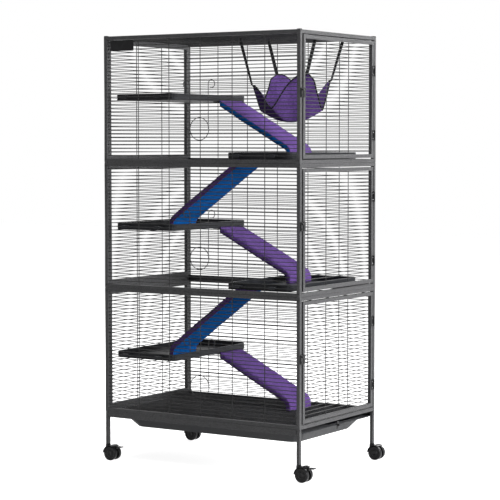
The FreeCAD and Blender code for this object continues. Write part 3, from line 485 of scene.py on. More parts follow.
def wires(name, lines, radius, body, material):
    """Round wires or beads along lists of points; a list that comes with True is a closed ring."""
    curve = bpy.data.curves.new(name, "CURVE")
    curve.dimensions = "3D"
    curve.bevel_depth = radius
    curve.bevel_resolution = 3
    curve.use_fill_caps = True
    for points, ring in lines:
        spline = curve.splines.new("POLY")
        spline.points.add(len(points) - 1)
        for spot, point in zip(spline.points, points):
            spot.co = (*point, 1)
        spline.use_cyclic_u = ring
    curve.materials.append(material)
    made = bpy.data.objects.new(name, curve)
    bpy.context.scene.collection.objects.link(made)
    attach(made, body)
    return made


def split_edges(made):
    """Shades a turned piece flat across its sharp edges."""
    made.modifiers.new("edges", "EDGE_SPLIT").split_angle = SPLIT_ANGLE


def spot_between(first, last):
    """An edge's middle, rounded so that it can be looked up."""
    return tuple(round(share / 2, 5) for share in first + last)


def tube_edges(mesh):
    """Marks the long outer edges of square tubes, the only ones that are round on a tube."""
    solid = bmesh.new()
    solid.from_mesh(mesh)
    bmesh.ops.remove_doubles(solid, verts=solid.verts, dist=SAME_SPOT)
    outer = set()
    for edge in solid.edges:
        long = edge.calc_length() > TUBE_EDGE_LENGTH
        if long and edge.is_convex and edge.calc_face_angle(0) > TUBE_EDGE_TURN:
            outer.add(spot_between(*[vertex.co for vertex in edge.verts]))
    solid.free()
    weights = mesh.attributes.new("bevel_weight_edge", "FLOAT", "EDGE")
    for edge, weight in zip(mesh.edges, weights.data):
        weight.value = float(spot_between(*[mesh.vertices[index].co for index in edge.vertices]) in outer)


def repaint(nodes, finish, edge=0.0, segments=2, tubes=False):
    """Gives CAD nodes a finish and, as they are shown, round edges."""
    for node in nodes:
        shown = CAD[node]
        shown.data.materials.clear()
        shown.data.materials.append(coat(finish))
        if edge:
            shown.modifiers.new("weld", "WELD").merge_threshold = SAME_SPOT
            modifier = shown.modifiers.new("edges", "BEVEL")
            modifier.width = edge
            modifier.segments = segments
            modifier.angle_limit = BEVEL_ANGLE
            modifier.harden_normals = True
            if tubes:
                tube_edges(shown.data)
                modifier.limit_method = "WEIGHT"
                modifier.use_clamp_overlap = False


def per_storey(*parts):
    return [f"{storey}_{part}" for storey in STOREYS for part in parts]


def storey_floor(storey):
    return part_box(f"{storey}_frame")[0].z


# Frame and wires

POST = 0.0127
JOINT_SCREW = 0.0027
JOINT_SCREW_RISE = 1.4
JOINT_SCREW_STEP = 0.0107
RING_SWEEP, RING_STEPS = 354, 58
CURL_SWEEP, CURL_STEPS = 290, 40


class CAGE_OT_frame(bpy.types.Operator):
    """Paint the tube frame and round its edges"""
    bl_idname = "cage.frame"
    bl_label = "Tube frame"

    def execute(self, context):
        tubes = per_storey("frame", "door_frame") + ["left_panel_frames", "legs"]
        repaint(tubes, "paint", sizes().tube_edge, segments=3, tubes=True)
        repaint(["tray_runners"], "paint", METAL_EDGE)
        repaint(["post_joiners", "caster_sockets"], "caster")
        repaint(["post_caps"], "caster", sizes().mould_edge)
        self.joint_screws()
        return {"FINISHED"}

    def joint_screws(self):
        """Screw heads above and below each joint between storeys, on the posts' front and back faces."""
        low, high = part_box("middle_frame")
        heads = []
        for z in (low.z, high.z):
            for step in (-JOINT_SCREW_STEP, JOINT_SCREW_STEP):
                for x in (low.x + POST / 2, high.x - POST / 2):
                    for y, facing in ((low.y, -1), (high.y, 1)):
                        rise = facing * JOINT_SCREW_RISE
                        profile = [(share * JOINT_SCREW, out * rise) for share, out in SCREW]
                        heads.append(lathe(profile, Vector((x, y, z + step)), "Y", SCREW_SIDES))
        made = piece("joint_screws", *gather(heads), "cage", [coat("hardware")])


class CAGE_OT_wires(bpy.types.Operator):
    """Paint the wire walls and round the wires"""
    bl_idname = "cage.wires"
    bl_label = "Wire walls"

    def execute(self, context):
        walls = per_storey("front_mesh", "back_mesh", "door_mesh") + ["left_meshes", "roof_mesh"]
        repaint(walls, "wire", sizes().wire_edge, segments=1)
        repaint(["floor_grate"], "paint", sizes().wire_edge, segments=1)
        return {"FINISHED"}


class CAGE_OT_holders(bpy.types.Operator):
    """Bend the wire holders on the front wall"""
    bl_idname = "cage.holders"
    bl_label = "Wire holders"

    def execute(self, context):
        low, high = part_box("wire_holders")
        size = sizes()
        wire, ring, curl = size.holder_wire, size.holder_ring, size.holder_curl
        leg_y, ring_y = low.y + wire, high.y - wire
        ring_up = low.z + wire + ring - storey_floor("lower")
        loop_up = high.z - wire - curl - storey_floor("upper")
        lines = []
        for storey in STOREYS:
            ring_z, loop_z = storey_floor(storey) + ring_up, storey_floor(storey) + loop_up
            lines.append((circle(Vector((0, ring_y, ring_z)), ring, 0, RING_SWEEP, RING_STEPS), True))
            for side in (-1, 1):
                foot = Vector((side * ring, leg_y, ring_z))
                centre = Vector((side * (ring + curl), leg_y, loop_z))
                start = 0 if side < 0 else 180
                lines.append(([foot] + circle(centre, curl, start, -side * CURL_SWEEP, CURL_STEPS), False))
        made = wires("bent_holders", lines, wire, "cage", coat("wire"))
        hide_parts("wire_holders")
        return {"FINISHED"}


# Shelves and tray: the bead lies on the middle of a pan's wall and sinks into its top a little

RIM_INSET = 0.0015
RIM_SINK = 0.0006
RIM_CORNER = 0.018
RIM_STEPS = 8
LEVEL = 0.0001


class CAGE_OT_shelves(bpy.types.Operator):
    """Finish the moulded shelves and roll a bead round their rims"""
    bl_idname = "cage.shelves"
    bl_label = "Shelves"

    def execute(self, context):
        repaint(SHELVES, "plastic", sizes().mould_edge, segments=3)
        for node in SHELVES:
            rim = [(self.rim(node), True)]
            made = wires(f"{node}_rim", rim, sizes().shelf_bead, "cage", coat("plastic"))
        return {"FINISHED"}

    def rim(self, node):
        """The middle of the pan's wall, along its top: the widest ring of the node's own highest points."""
        spots = [vertex.co for vertex in CAD[node].data.vertices]
        top = max(spot.z for spot in spots)
        highest = [spot for spot in spots if spot.z > top - LEVEL]
        low = [min(spot[axis] for spot in highest) + RIM_INSET for axis in (0, 1)]
        high = [max(spot[axis] for spot in highest) - RIM_INSET for axis in (0, 1)]
        outline = rounded_outline(low, high, RIM_CORNER, RIM_STEPS)
        return [Vector((x, y, top - RIM_SINK)) for x, y in outline]


class CAGE_OT_tray(bpy.types.Operator):
    """Finish the sliding tray and its pull"""
    bl_idname = "cage.tray"
    bl_label = "Tray"

    def execute(self, context):
        repaint(["tray"], "plastic", sizes().mould_edge, segments=3)
        repaint(["tray_pull"], "hardware", PRESSED_EDGE)
        return {"FINISHED"}


# Door hardware: hinges by their heights in a storey, and screws by their distance from a leaf's back edge

HINGES = (0.095, 0.320)
LEAF = 0.0015
LEAF_SCREW = 0.0019
LEAF_SCREW_STEP = 0.011
POST_LEAF_INSET = 0.0035
DOOR_LEAF_INSET = 0.0098
KNOB = ((0.0034, -0.0002), (0.0026, 0.0008), (0.0026, 0.0022), (0.0042, 0.0034), (0.0044, 0.0046),
        (0.0036, 0.0055), (0.0015, 0.0059), (0.0003, 0.006))
KNOB_SIDES = 32
KNOB_BELOW_END = 0.006


class CAGE_OT_hardware(bpy.types.Operator):
    """Finish the hinges and latches, with their screws and thumb knobs"""
    bl_idname = "cage.hardware"
    bl_label = "Door hardware"

    def execute(self, context):
        fittings = per_storey("door_fittings", "latch") + ["hinge_post_leaves", "latch_plates"]
        repaint(fittings, "hardware", METAL_EDGE)
        low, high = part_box("hinge_post_leaves")
        face = low.x + LEAF
        self.screws("post_screws", STOREYS, face, high.y - POST_LEAF_INSET, "cage")
        for storey in STOREYS:
            door_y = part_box(f"{storey}_door_fittings")[1].y - DOOR_LEAF_INSET
            self.screws(f"{storey}_door_screws", [storey], face, door_y, f"{storey}_door")
            self.knob(storey)
        return {"FINISHED"}

    def screws(self, name, storeys, x, y, body):
        """Domed screw heads, two on each hinge leaf."""
        profile = [(share * LEAF_SCREW, out) for share, out in SCREW]
        heads = []
        for storey in storeys:
            for hinge in HINGES:
                for step in (-LEAF_SCREW_STEP, LEAF_SCREW_STEP):
                    centre = Vector((x, y, storey_floor(storey) + hinge + step))
                    heads.append(lathe(profile, centre, "X", SCREW_SIDES))
        made = piece(name, *gather(heads), body, [coat("steel")])

    def knob(self, storey):
        """A waisted thumb knob near the end of a latch's lever."""
        low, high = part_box(f"{storey}_latch")
        centre = Vector((high.x, (low.y + high.y) / 2, high.z - KNOB_BELOW_END))
        turned = lathe(KNOB, centre, "X", KNOB_SIDES)
        made = piece(f"{storey}_latch_knob", *turned, f"{storey}_latch", [coat("hardware")])


# Ramps: the knee is where the slope turns down into the foot

KNEE = 0.022
BOARD_KNEE = 1.25 * KNEE
SLOPE_STEPS = 42
KNEE_STEPS = 12
FOOT_STEPS = 4
FIRST_SLOPE = 0.4
SLOPE_ROUNDS = 12
SLEEVE_START = 0.001
FOOT_GAP = 0.0004
FLANGE = (0.029, 0.002)
BOARD_INSET = 0.003

# Sleeves: the section's corners, its points across and up the sides, and the cloth run

SLEEVE_INSET = 0.001
UPPER_CORNER = 0.0042
LOWER_CORNER = 0.006
CORNER_STEPS = 4
ACROSS_STEPS = 22
SIDE_STEPS = 4
UPRIGHT_RINGS = 4
SWELL_PRESSURE = 5.0
SWELL_FRAMES = 20
WELT = 0.0012
RIPPLES = ((0.0009, 18), (0.0004, 52))


def ramp_line(node, way):
    """The middle line of a ramp's board, from the node's box: its start, knee and foot, and its stretch."""
    low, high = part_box(node)
    size = sizes()
    start = low.x if way > 0 else high.x
    slope = FIRST_SLOPE
    for _ in range(SLOPE_ROUNDS):
        top = high.z + slope * SLEEVE_START - size.sleeve_cover * math.hypot(1, slope)
        slope = (top - low.z - size.ramp_foot) / size.ramp_run
    stretch = math.hypot(1, slope)
    half = size.ramp_board / 2
    edge = start - way * SLEEVE_START
    out = size.ramp_run - half
    first = Vector((start, 0, top - slope * SLEEVE_START - half * stretch))
    knee = Vector((edge + way * out, 0, top - slope * out - half * stretch))
    return first, knee, Vector((knee.x, 0, low.z + FOOT_GAP)), stretch


def ramp_stations(first, knee, bottom, radius):
    """Points down the slope, round the knee and down the foot."""
    enter = knee + (first - knee).normalized() * radius
    leave = knee + (bottom - knee).normalized() * radius
    stations = [first.lerp(enter, step / SLOPE_STEPS) for step in range(SLOPE_STEPS)]
    for step in range(KNEE_STEPS + 1):
        share = step / KNEE_STEPS
        stations.append(enter.lerp(knee, share).lerp(knee.lerp(leave, share), share))
    return stations + [leave.lerp(bottom, step / FOOT_STEPS) for step in range(1, FOOT_STEPS + 1)]


def square_to(path, index, way):
    """The upper side's direction at a point of a ramp's path."""
    along = (path[min(index + 1, len(path) - 1)] - path[max(index - 1, 0)]).normalized()
    return Vector((-along.z, 0, along.x)) * way


def sleeve_section(half, up, down):
    """Outline of a padded sleeve across a ramp, with the places of its high and low seams."""
    upper = (up - UPPER_CORNER, UPPER_CORNER)
    lower = (LOWER_CORNER - down, LOWER_CORNER)
    corners = []
    for side, (height, radius), start in ((-1, upper, 180), (1, upper, 90), (1, lower, 0), (-1, lower, -90)):
        corner = []
        for step in range(CORNER_STEPS + 1):
            angle = math.radians(start - 90 * step / CORNER_STEPS)
            y = side * (half - radius) + radius * math.cos(angle)
            corner.append((y, height + radius * math.sin(angle)))
        corners.append(corner)
    outline, seams = [], []
    for index, corner in enumerate(corners):
        after = corners[(index + 1) % len(corners)]
        seams.append(len(outline) + CORNER_STEPS // 2)
        outline += corner + between_points(corner[-1], after[0], SIDE_STEPS if index % 2 else ACROSS_STEPS)
    return outline, {"high": (seams[0], seams[1]), "low": (seams[3], seams[2])}


def between_points(first, last, count):
    """Pairs spaced evenly between two, without the ends."""
    points = []
    for step in range(1, count):
        points.append(tuple(a + (b - a) * step / count for a, b in zip(first, last)))
    return points


def swell(made, pins, cap):
    """Swells a closed pad with a short cloth run, and keeps each point within a cap of where it was."""
    scene = bpy.context.scene
    held = made.vertex_groups.new(name="seams")
    held.add(pins, 1.0, "REPLACE")
    modifier = made.modifiers.new("swell", "CLOTH")
    cloth = modifier.settings
    cloth.quality = 6
    cloth.mass = 0.3
    cloth.tension_stiffness = 30
    cloth.compression_stiffness = 30
    cloth.bending_stiffness = 0.8
    cloth.use_pressure = True
    cloth.uniform_pressure_force = SWELL_PRESSURE
    cloth.vertex_group_mass = held.name
    cloth.effector_weights.gravity = 0
    modifier.collision_settings.use_collision = False
    for step in range(1, SWELL_FRAMES + 1):
        scene.frame_set(step)
    shaped = made.evaluated_get(bpy.context.evaluated_depsgraph_get()).data
    moves = [after.co - before.co for after, before in zip(shaped.vertices, made.data.vertices)]
    made.modifiers.remove(modifier)
    made.vertex_groups.remove(held)
    for vertex, move in zip(made.data.vertices, moves):
        vertex.co += move * min(1.0, cap / max(move.length, SAME_SPOT))
    scene.frame_set(1)


class CAGE_OT_ramps(bpy.types.Operator):
    """Make the ramps' boards and their fleece sleeves"""
    bl_idname = "cage.ramps"
    bl_label = "Ramps"

    def execute(self, context):
        ramps = [(f"{storey}_back_ramp", 1) for storey in STOREYS]
        ramps += [(f"{storey}_front_ramp", -1) for storey in STOREYS[:2]]
        for node, way in ramps:
            self.sleeve(node, way, "high" if node == "upper_back_ramp" else "low")
        boards = gather([self.board(*ramp) for ramp in ramps])
        made = piece("bent_boards", *boards, "cage", [coat("plastic")], smooth=False)
        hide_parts("ramp_boards")
        return {"FINISHED"}

    def board(self, node, way):
        """The board in a sleeve: a flange under the shelf, the slope, a rounded knee and the foot."""
        low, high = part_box(node)
        first, knee, bottom, stretch = ramp_line(node, way)
        half = sizes().ramp_board / 2
        middle_y = (low.y + high.y) / 2
        across = Vector((0, (high.y - low.y) / 2 - BOARD_INSET, 0))
        level = first.z + half * (stretch - 1)
        flange = [Vector((first.x - way * out, 0, level)) for out in FLANGE]
        end = bottom + Vector((0, 0, sizes().sleeve_cover))
        path = flange + ramp_stations(first, knee, end, BOARD_KNEE)
        rings = []
        for index, spot in enumerate(path):
            normal = square_to(path, index, way) * half
            middle = Vector((spot.x, middle_y, spot.z))
            rings.append([middle - across - normal, middle + across - normal,
                          middle + across + normal, middle - across + normal])
        return loft(rings, capped=True)

    def sleeve(self, node, way, seam):
        """A padded sleeve round a board: purple above its two seams and blue below them."""
        low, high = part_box(node)
        size = sizes()
        *line, stretch = ramp_line(node, way)
        stations = ramp_stations(*line, KNEE)
        half = size.ramp_board / 2
        half_width = (high.y - low.y) / 2 - SLEEVE_INSET
        section, seams = sleeve_section(half_width, half + size.sleeve_cover, half + size.sleeve_pad)
        rings = []
        for index, spot in enumerate(stations):
            upright = Vector((0, 0, stretch))
            normal = upright.lerp(square_to(stations, index, way), min(1.0, index / UPRIGHT_RINGS))
            middle = Vector((spot.x, (low.y + high.y) / 2, spot.z))
            rings.append([middle + Vector((0, y, 0)) + normal * height for y, height in section])
        made = piece(f"{node}_sleeve", *loft(rings, capped=True), "cage", [coat("purple"), coat("blue")])
        count = len(section)
        front, back = seams[seam]
        for index, polygon in enumerate(made.data.polygons):
            place = index % count
            under = back <= place < front if seam == "low" else not front <= place < back
            polygon.material_index = int(under)
        sewn = [[ring * count + place for ring in range(len(rings))] for place in (front, back)]
        ends = list(range(count)) + list(range((len(rings) - 2) * count, len(rings) * count))
        bend = list(range(SLOPE_STEPS * count, (SLOPE_STEPS + KNEE_STEPS + 1) * count))
        swell(made, sewn[0] + sewn[1] + ends + bend, size.sleeve_swell)
        self.ripple(made, set(ends))
        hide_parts(node)
        lines = [([made.data.vertices[index].co.copy() for index in row], False) for row in sewn]
        welt = wires(f"{node}_seams", lines, WELT, "cage", coat("purple"))

    def ripple(self, made, still):
        """Small soft waves in the fleece, apart from the points at its ends."""
        normals = [vertex.normal.copy() for vertex in made.data.vertices]
        for vertex, normal in zip(made.data.vertices, normals):
            if vertex.index not in still:
                vertex.co += normal * sum(size * noise.noise(vertex.co * scale) for size, scale in RIPPLES)


# Hammock: its place along the cage, and heights below the roof of its tips, the edges between them and its ends

HAMMOCK_X = 0.211
CLOTH_STEPS = 56
TIP_DROPS = {(-1, -1): 0.172, (-1, 1): 0.130, (1, -1): 0.133, (1, 1): 0.158}
EDGE_DROPS = {-1: 0.255, 1: 0.250}
END_DROP = 0.262
SAG = 0.300

# Lobes: shares by which the sides draw in, the tips are rounded and the lobes lean, and how they rise

WAIST = 0.14
ROUND_OFF = 0.13
LEAN = 0.25
LOBE_REACH = 0.8
LOBE_RISE = 1.2

# Folds run out to the tips, and creases are noise with a height, a scale and a layer of its own

FOLD = 0.007
FOLD_TURNS = 13
FOLD_SHIFT = 0.7
FOLD_SWAY = 0.5
FOLD_CENTRE = 0.02
CREASES = ((0.0018, 16, 3.1), (0.0007, 55, 7.0))

# Tape and straps: shares of the lobe where a strap is sewn, and the place of its clip's eye

TAPE_BULGE = 0.0021
TAPE_INWARD = 0.7
TAPE_SIDES = 12
TAPE_CELLS = 2
STRAP_SEWN = (0.8, 0.86, 0.92, 0.97, 1.0)
STRAP_OFF_CLOTH = 0.0035
STRAP_STEPS = 14
STRAP_HALF_THICKNESS = 0.0011
STRAP_SPREAD = 0.149
EYE_INSET = 0.0055
EYE_DROP = 0.0205


def hammock_point(along, across, roof):
    """A point of the cloth from shares of its half length and half width, with folds towards the tips."""
    drawn = 1 - ROUND_OFF * abs(along * across) ** 3
    along, across = along * drawn, across * drawn
    lean = 1 - LEAN * along * across
    leant = ((along - LEAN * across) / lean, (across - LEAN * along) / lean)
    side, row = [math.copysign(1, share) for share in leant]
    edge = EDGE_DROPS[math.copysign(1, across)]
    lowered = (2 * SAG - edge - END_DROP) * (1 - (1 - ROUND_OFF) ** 2)
    lobe = edge + END_DROP - SAG - TIP_DROPS[side, row] + lowered
    rise = math.prod(math.sin(math.pi / 2 * min(1, abs(share) / LOBE_REACH)) ** LOBE_RISE for share in leant)
    height = roof - SAG + (SAG - edge) * across ** 2 + (SAG - END_DROP) * along ** 2 + lobe * rise
    x = HAMMOCK_X + sizes().hammock_half_length * along * (1 - WAIST + WAIST * across ** 2)
    y = sizes().hammock_half_width * across * (1 - WAIST + WAIST * along ** 2)
    tipward = abs(along * across)
    spread = math.atan2(abs(across) + FOLD_CENTRE, abs(along) + FOLD_CENTRE) - math.pi / 4
    fold = FOLD * tipward * (1 - tipward) * math.sin(FOLD_TURNS * spread + side * FOLD_SHIFT)
    crease = sum(size * noise.noise(Vector((x * scale, y * scale, layer))) for size, scale, layer in CREASES)
    sway = fold * FOLD_SWAY
    return Vector((x + side * sway, y - row * sway, height + fold + crease * (1 - tipward)))


class CAGE_OT_hammock(bpy.types.Operator):
    """Hang the hammock with its bound edge, straps and clips"""
    bl_idname = "cage.hammock"
    bl_label = "Hammock"

    def execute(self, context):
        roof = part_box("upper_frame")[1].z
        shares = [2 * step / CLOTH_STEPS - 1 for step in range(CLOTH_STEPS + 1)]
        grid = [[hammock_point(along, across, roof) for across in shares] for along in shares]
        cloth = piece("hammock_cloth", *loft(grid, closed=False), "cage", [coat("purple")])
        skin = cloth.modifiers.new("cloth", "SOLIDIFY")
        skin.thickness = sizes().hammock_cloth
        skin.offset = 0
        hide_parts("hammock")
        binding = self.binding(grid)
        self.straps(roof)
        repaint(["hammock_clips"], "hardware", PRESSED_EDGE)
        return {"FINISHED"}

    def binding(self, grid):
        """Tape folded over the cloth's edge all the way round."""
        last = len(grid) - 1
        rim = [(i, 0) for i in range(last)] + [(last, j) for j in range(last)]
        rim += [(i, last) for i in range(last, 0, -1)] + [(0, j) for j in range(last, 0, -1)]
        half = sizes().binding / 2
        rings = []
        for index, (i, j) in enumerate(rim):
            spot = grid[i][j]
            before, after = rim[index - 1], rim[(index + 1) % len(rim)]
            along = (grid[after[0]][after[1]] - grid[before[0]][before[1]]).normalized()
            row, column = [min(max(cell, TAPE_CELLS), last - TAPE_CELLS) for cell in (i, j)]
            inward = grid[row][column] - spot
            inward = (inward - along * inward.dot(along)).normalized()
            normal = along.cross(inward).normalized()
            ring = []
            for step in range(TAPE_SIDES):
                angle = 2 * math.pi * step / TAPE_SIDES
                deep = half * TAPE_INWARD + half * math.cos(angle)
                ring.append(spot + inward * deep + normal * TAPE_BULGE * math.sin(angle))
            rings.append(ring)
        made = piece("hammock_binding", *loft(rings, joined=True), "cage", [coat("webbing")])
        return made

    def flat_size(self, grid):
        """The cloth's area, and the length and width of a rectangle of that area in its proportions."""
        middle = len(grid) // 2
        length = sum((a[middle] - b[middle]).length for a, b in zip(grid, grid[1:]))
        width = sum((a - b).length for a, b in zip(grid[middle], grid[middle][1:]))
        area = 0
        for line, after in zip(grid, grid[1:]):
            for j in range(len(line) - 1):
                area += (line[j + 1] - line[j]).cross(after[j] - line[j]).length / 2
                area += (line[j + 1] - after[j + 1]).cross(after[j] - after[j + 1]).length / 2
        stretch = math.sqrt(max(1, area / (length * width)))
        return length * stretch, width * stretch, area

    def straps(self, roof):
        """Webbing sewn to the outside of each lobe and drawn up to its clip."""
        eye_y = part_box("hammock_clips")[1].y - EYE_INSET
        strips = []
        for side in (-1, 1):
            for row in (-1, 1):
                outward = Vector((side, row, 0)).normalized() * STRAP_OFF_CLOTH
                path = [hammock_point(side * share, row * share, roof) + outward for share in STRAP_SEWN]
                eye = Vector((HAMMOCK_X + side * STRAP_SPREAD, row * eye_y, roof - EYE_DROP))
                tip = path[-1]
                path += [tip.lerp(eye, step / STRAP_STEPS) for step in range(1, STRAP_STEPS + 1)]
                strips.append(self.strip(path, side, row))
        made = piece("hammock_webbing", *gather(strips), "cage", [coat("webbing")], smooth=False)
        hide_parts("hammock_straps")

    def strip(self, path, side, row):
        """A flat strap along a path that turns from facing the lobe to facing the clip."""
        half = sizes().strap_width / 2
        rings = []
        for index, spot in enumerate(path):
            turn = -side * row * math.pi / 4 * (1 - index / (len(path) - 1))
            reach = Vector((math.cos(turn), math.sin(turn), 0)) * half
            out = Vector((-math.sin(turn), math.cos(turn), 0)) * STRAP_HALF_THICKNESS
            rings.append([spot - reach - out, spot + reach - out, spot + reach + out, spot - reach + out])
        return loft(rings, capped=True)


# Casters: a wheel's profile is shares of its radius with distances out from the middle or in from its face

WHEEL_TREAD = ((0.12, 0.006), (0.62, 0.006), (0.66, 0.0075), (0.8, 0.0075), (0.84, 0.006), (0.95, 0.006),
               (0.99, 0.0072), (1.0, 0.009), (1.0, 0.0165), (0.985, 0.0182), (0.95, 0.0193))
WHEEL_FACE = ((0.9, 0.0), (0.82, 0.0), (0.78, 0.0008), (0.74, 0.0024), (0.5, 0.0028), (0.46, 0.0014),
              (0.42, 0.0004), (0.3, 0.0002), (0.26, 0.0012), (0.02, 0.0012))
WHEEL_SIDES = 64
AXLE = ((0.0029, -0.007), (0.0029, 0.007))
BRAKE_EDGE = 0.0007

# Hoods: shares of the half width with radii, then the inner side, and the arc in degrees

HOOD_ROLL = ((1.0, 0.0262), (1.0, 0.0268), (0.97, 0.0278), (0.88, 0.0285), (0.7, 0.0288))
HOOD_INSIDE = ((0.97, 0.0258), (-0.97, 0.0258))
HOOD_START, HOOD_SWEEP, HOOD_STEPS = 63, 114, 28


class CAGE_OT_casters(bpy.types.Operator):
    """Make the twin wheels and hoods and finish the brake levers"""
    bl_idname = "cage.casters"
    bl_label = "Casters"

    def execute(self, context):
        for corner in CORNERS:
            low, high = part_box(f"{corner}_caster_wheels")
            centre = (low + high) / 2
            self.wheels(corner, centre, (high.x - low.x) / 2, (high.y - low.y) / 2)
            self.hood(corner, centre, (high.y - low.y) / 2)
        repaint([f"{corner}_caster_hood" for corner in CORNERS], "caster", sizes().mould_edge, segments=3)
        repaint([f"{corner}_brake" for corner in CORNERS[:2]], "caster", BRAKE_EDGE)
        return {"FINISHED"}

    def wheels(self, corner, centre, radius, half):
        """Two dished wheels with a tread ring, and the axle between them."""
        near = [(share * radius, out) for share, out in WHEEL_TREAD]
        near += [(share * radius, half - deep) for share, deep in WHEEL_FACE]
        far = [(reach, -out) for reach, out in near]
        turned = [lathe(profile, centre, "Y", WHEEL_SIDES) for profile in (near, far, AXLE)]
        made = piece(f"{corner}_twin_wheels", *gather(turned), f"{corner}_wheel_pair", [coat("caster")])
        split_edges(made)
        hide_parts(f"{corner}_caster_wheels")

    def hood(self, corner, centre, half):
        """A smooth round shell over the hood's faceted one, rolled in along its sides."""
        profile = [(-share, radius) for share, radius in HOOD_ROLL]
        profile += [*HOOD_ROLL[::-1], *HOOD_INSIDE]
        rings = []
        for step in range(HOOD_STEPS + 1):
            angle = math.radians(HOOD_START + HOOD_SWEEP * step / HOOD_STEPS)
            outward = Vector((math.cos(angle), 0, math.sin(angle)))
            across = Vector((0, half, 0))
            rings.append([centre + outward * radius + across * share for share, radius in profile])
        skin = loft(rings, capped=True)
        made = piece(f"{corner}_hood_shell", *skin, f"{corner}_swivel", [coat("caster")])
        split_edges(made)


# Bare plate: its place on the front wall, and its edge as insets with depths

PLATE_WIDTH, PLATE_HEIGHT = 0.1, 0.036
PLATE_FROM_LEFT, PLATE_FROM_TOP, PLATE_OUT = 0.012, 0.003, 0.0022
PLATE_CORNER = 0.004
PLATE_STEPS = 6
PLATE_EDGE = ((0, 0.0021), (0, 0.0006), (0.0006, 0), (0.0024, 0), (0.003, 0.0007))


class CAGE_OT_bare_plate(bpy.types.Operator):
    """Fix a bare plate on the front wall"""
    bl_idname = "cage.bare_plate"
    bl_label = "Bare plate"

    def execute(self, context):
        low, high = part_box("upper_front_mesh")
        left, top, front = low.x + PLATE_FROM_LEFT, high.z - PLATE_FROM_TOP, low.y - PLATE_OUT
        right, bottom = left + PLATE_WIDTH, top - PLATE_HEIGHT
        rings = []
        for inset, back in PLATE_EDGE:
            lowest, highest = (left + inset, bottom + inset), (right - inset, top - inset)
            outline = rounded_outline(lowest, highest, PLATE_CORNER - inset, PLATE_STEPS)
            rings.append([Vector((x, front + back, z)) for x, z in outline])
        made = piece("bare_plate", *loft(rings, capped=True), "cage", [coat("caster")], smooth=False)
        return {"FINISHED"}


# Stage: the camera's focal length is in pixels of the picture, and its angles are in degrees

PICTURE = 500
FOCAL_LENGTH = 1793
SENSOR = 36
FAR = 100
CAMERA_PLACE = (3.4085, -5.3178, 1.1244)
CAMERA_DOWN = 3.444
CAMERA_TURN = 32.343
FLOOR_REACH = 14

# Lamps by name, place, size and power, and what they point at

LAMPS = (
    ("key", (4.8, -0.3, 2.0), 2.6, 430),
    ("top", (0.0, -0.6, 4.4), 3.0, 100),
    ("back", (0.4, 4.7, 2.8), 2.6, 150),
)
LAMP_TARGET = Vector((0, 0, 0.75))

# Strengths as light that falls on the cage, and as the camera and reflections see them

FLOOR_TONE = (0.32, 0.8)
FLOOR_GLOW = (0.0, 0.84)
SKY = (0.16, 1.0)


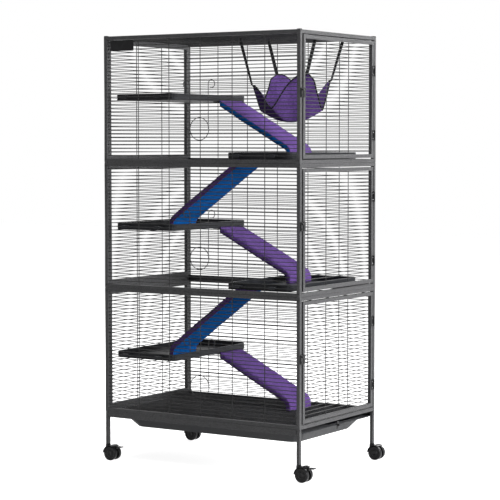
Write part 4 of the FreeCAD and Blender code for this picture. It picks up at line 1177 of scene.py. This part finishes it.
class CAGE_OT_stage(bpy.types.Operator):
    """Set the pale floor, the soft light and the camera"""
    bl_idname = "cage.stage"
    bl_label = "Stage"

    def execute(self, context):
        scene = context.scene
        scene.view_settings.view_transform = "Standard"
        self.camera(scene)
        self.floor(scene)
        self.world(scene)
        for lamp in LAMPS:
            self.lamp(scene, *lamp)
        return {"FINISHED"}

    def camera(self, scene):
        data = bpy.data.cameras.new("camera")
        data.sensor_width = SENSOR
        data.lens = FOCAL_LENGTH / PICTURE * SENSOR
        data.clip_end = FAR
        camera = bpy.data.objects.new("camera", data)
        scene.collection.objects.link(camera)
        camera.location = CAMERA_PLACE
        camera.rotation_euler = (math.radians(90 - CAMERA_DOWN), 0, math.radians(CAMERA_TURN))
        scene.camera = camera

    def seen(self, tree, hidden, shown):
        """One strength for the camera and for reflections, another for light that falls on the cage."""
        path = add_node(tree, "ShaderNodeLightPath").outputs
        rays = combine(tree, "MAXIMUM", path["Is Camera Ray"], path["Is Glossy Ray"])
        return span(tree, rays, to_low=hidden, to_high=shown)

    def floor(self, scene):
        mesh = bpy.data.meshes.new("floor")
        around = ((-1, -1), (1, -1), (1, 1), (-1, 1))
        corners = [(side * FLOOR_REACH, row * FLOOR_REACH, 0) for side, row in around]
        mesh.from_pydata(corners, [], [(0, 1, 2, 3)])
        floor = bpy.data.objects.new("floor", mesh)
        scene.collection.objects.link(floor)
        material = bpy.data.materials.new("pale_floor")
        material.use_nodes = True
        tree = material.node_tree
        shader = tree.nodes["Principled BSDF"]
        tree.links.new(self.seen(tree, *FLOOR_TONE), shader.inputs["Base Color"])
        shader.inputs["Roughness"].default_value = 0.9
        shader.inputs["Specular IOR Level"].default_value = 0.1
        glow = add_node(tree, "ShaderNodeEmission", {"Strength": self.seen(tree, *FLOOR_GLOW)})
        both = add_node(tree, "ShaderNodeAddShader", {0: shader.outputs[0], 1: glow.outputs[0]})
        tree.links.new(both.outputs[0], tree.nodes["Material Output"].inputs["Surface"])
        mesh.materials.append(material)

    def world(self, scene):
        world = bpy.data.worlds.new("studio")
        world.use_nodes = True
        tree = world.node_tree
        background = tree.nodes["Background"]
        background.inputs["Color"].default_value = (1, 1, 1, 1)
        tree.links.new(self.seen(tree, *SKY), background.inputs["Strength"])
        scene.world = world

    def lamp(self, scene, name, place, size, power):
        data = bpy.data.lights.new(name, "AREA")
        data.size = size
        data.energy = power
        lamp = bpy.data.objects.new(name, data)
        scene.collection.objects.link(lamp)
        lamp.location = place
        lamp.rotation_euler = (LAMP_TARGET - Vector(place)).to_track_quat("-Z", "Y").to_euler()


class CAGE_PT_pieces(bpy.types.Panel):
    """Lists the cage's pieces"""
    bl_idname = "CAGE_PT_pieces"
    bl_label = "Small Animal Cage"
    bl_space_type = "VIEW_3D"
    bl_region_type = "UI"
    bl_category = "Cage"

    def draw(self, context):
        for operator in OPERATORS:
            self.layout.operator(operator.bl_idname)


OPERATORS = (
    CAGE_OT_stage,
    CAGE_OT_ramps,
    CAGE_OT_hammock,
    CAGE_OT_frame,
    CAGE_OT_wires,
    CAGE_OT_holders,
    CAGE_OT_shelves,
    CAGE_OT_tray,
    CAGE_OT_hardware,
    CAGE_OT_casters,
    CAGE_OT_bare_plate,
)
CLASSES = (CageSizes, CageColours, *OPERATORS, CAGE_PT_pieces)


def register():
    for item in CLASSES:
        bpy.utils.register_class(item)
    bpy.types.Scene.cage_sizes = bpy.props.PointerProperty(type=CageSizes)
    bpy.types.Scene.cage_colours = bpy.props.PointerProperty(type=CageColours)


def unregister():
    del bpy.types.Scene.cage_colours
    del bpy.types.Scene.cage_sizes
    for item in reversed(CLASSES):
        bpy.utils.unregister_class(item)


def main():
    register()
    for operator in OPERATORS:
        group, name = operator.bl_idname.split(".")
        getattr(getattr(bpy.ops, group), name)()


if __name__ == "__main__":
    main()
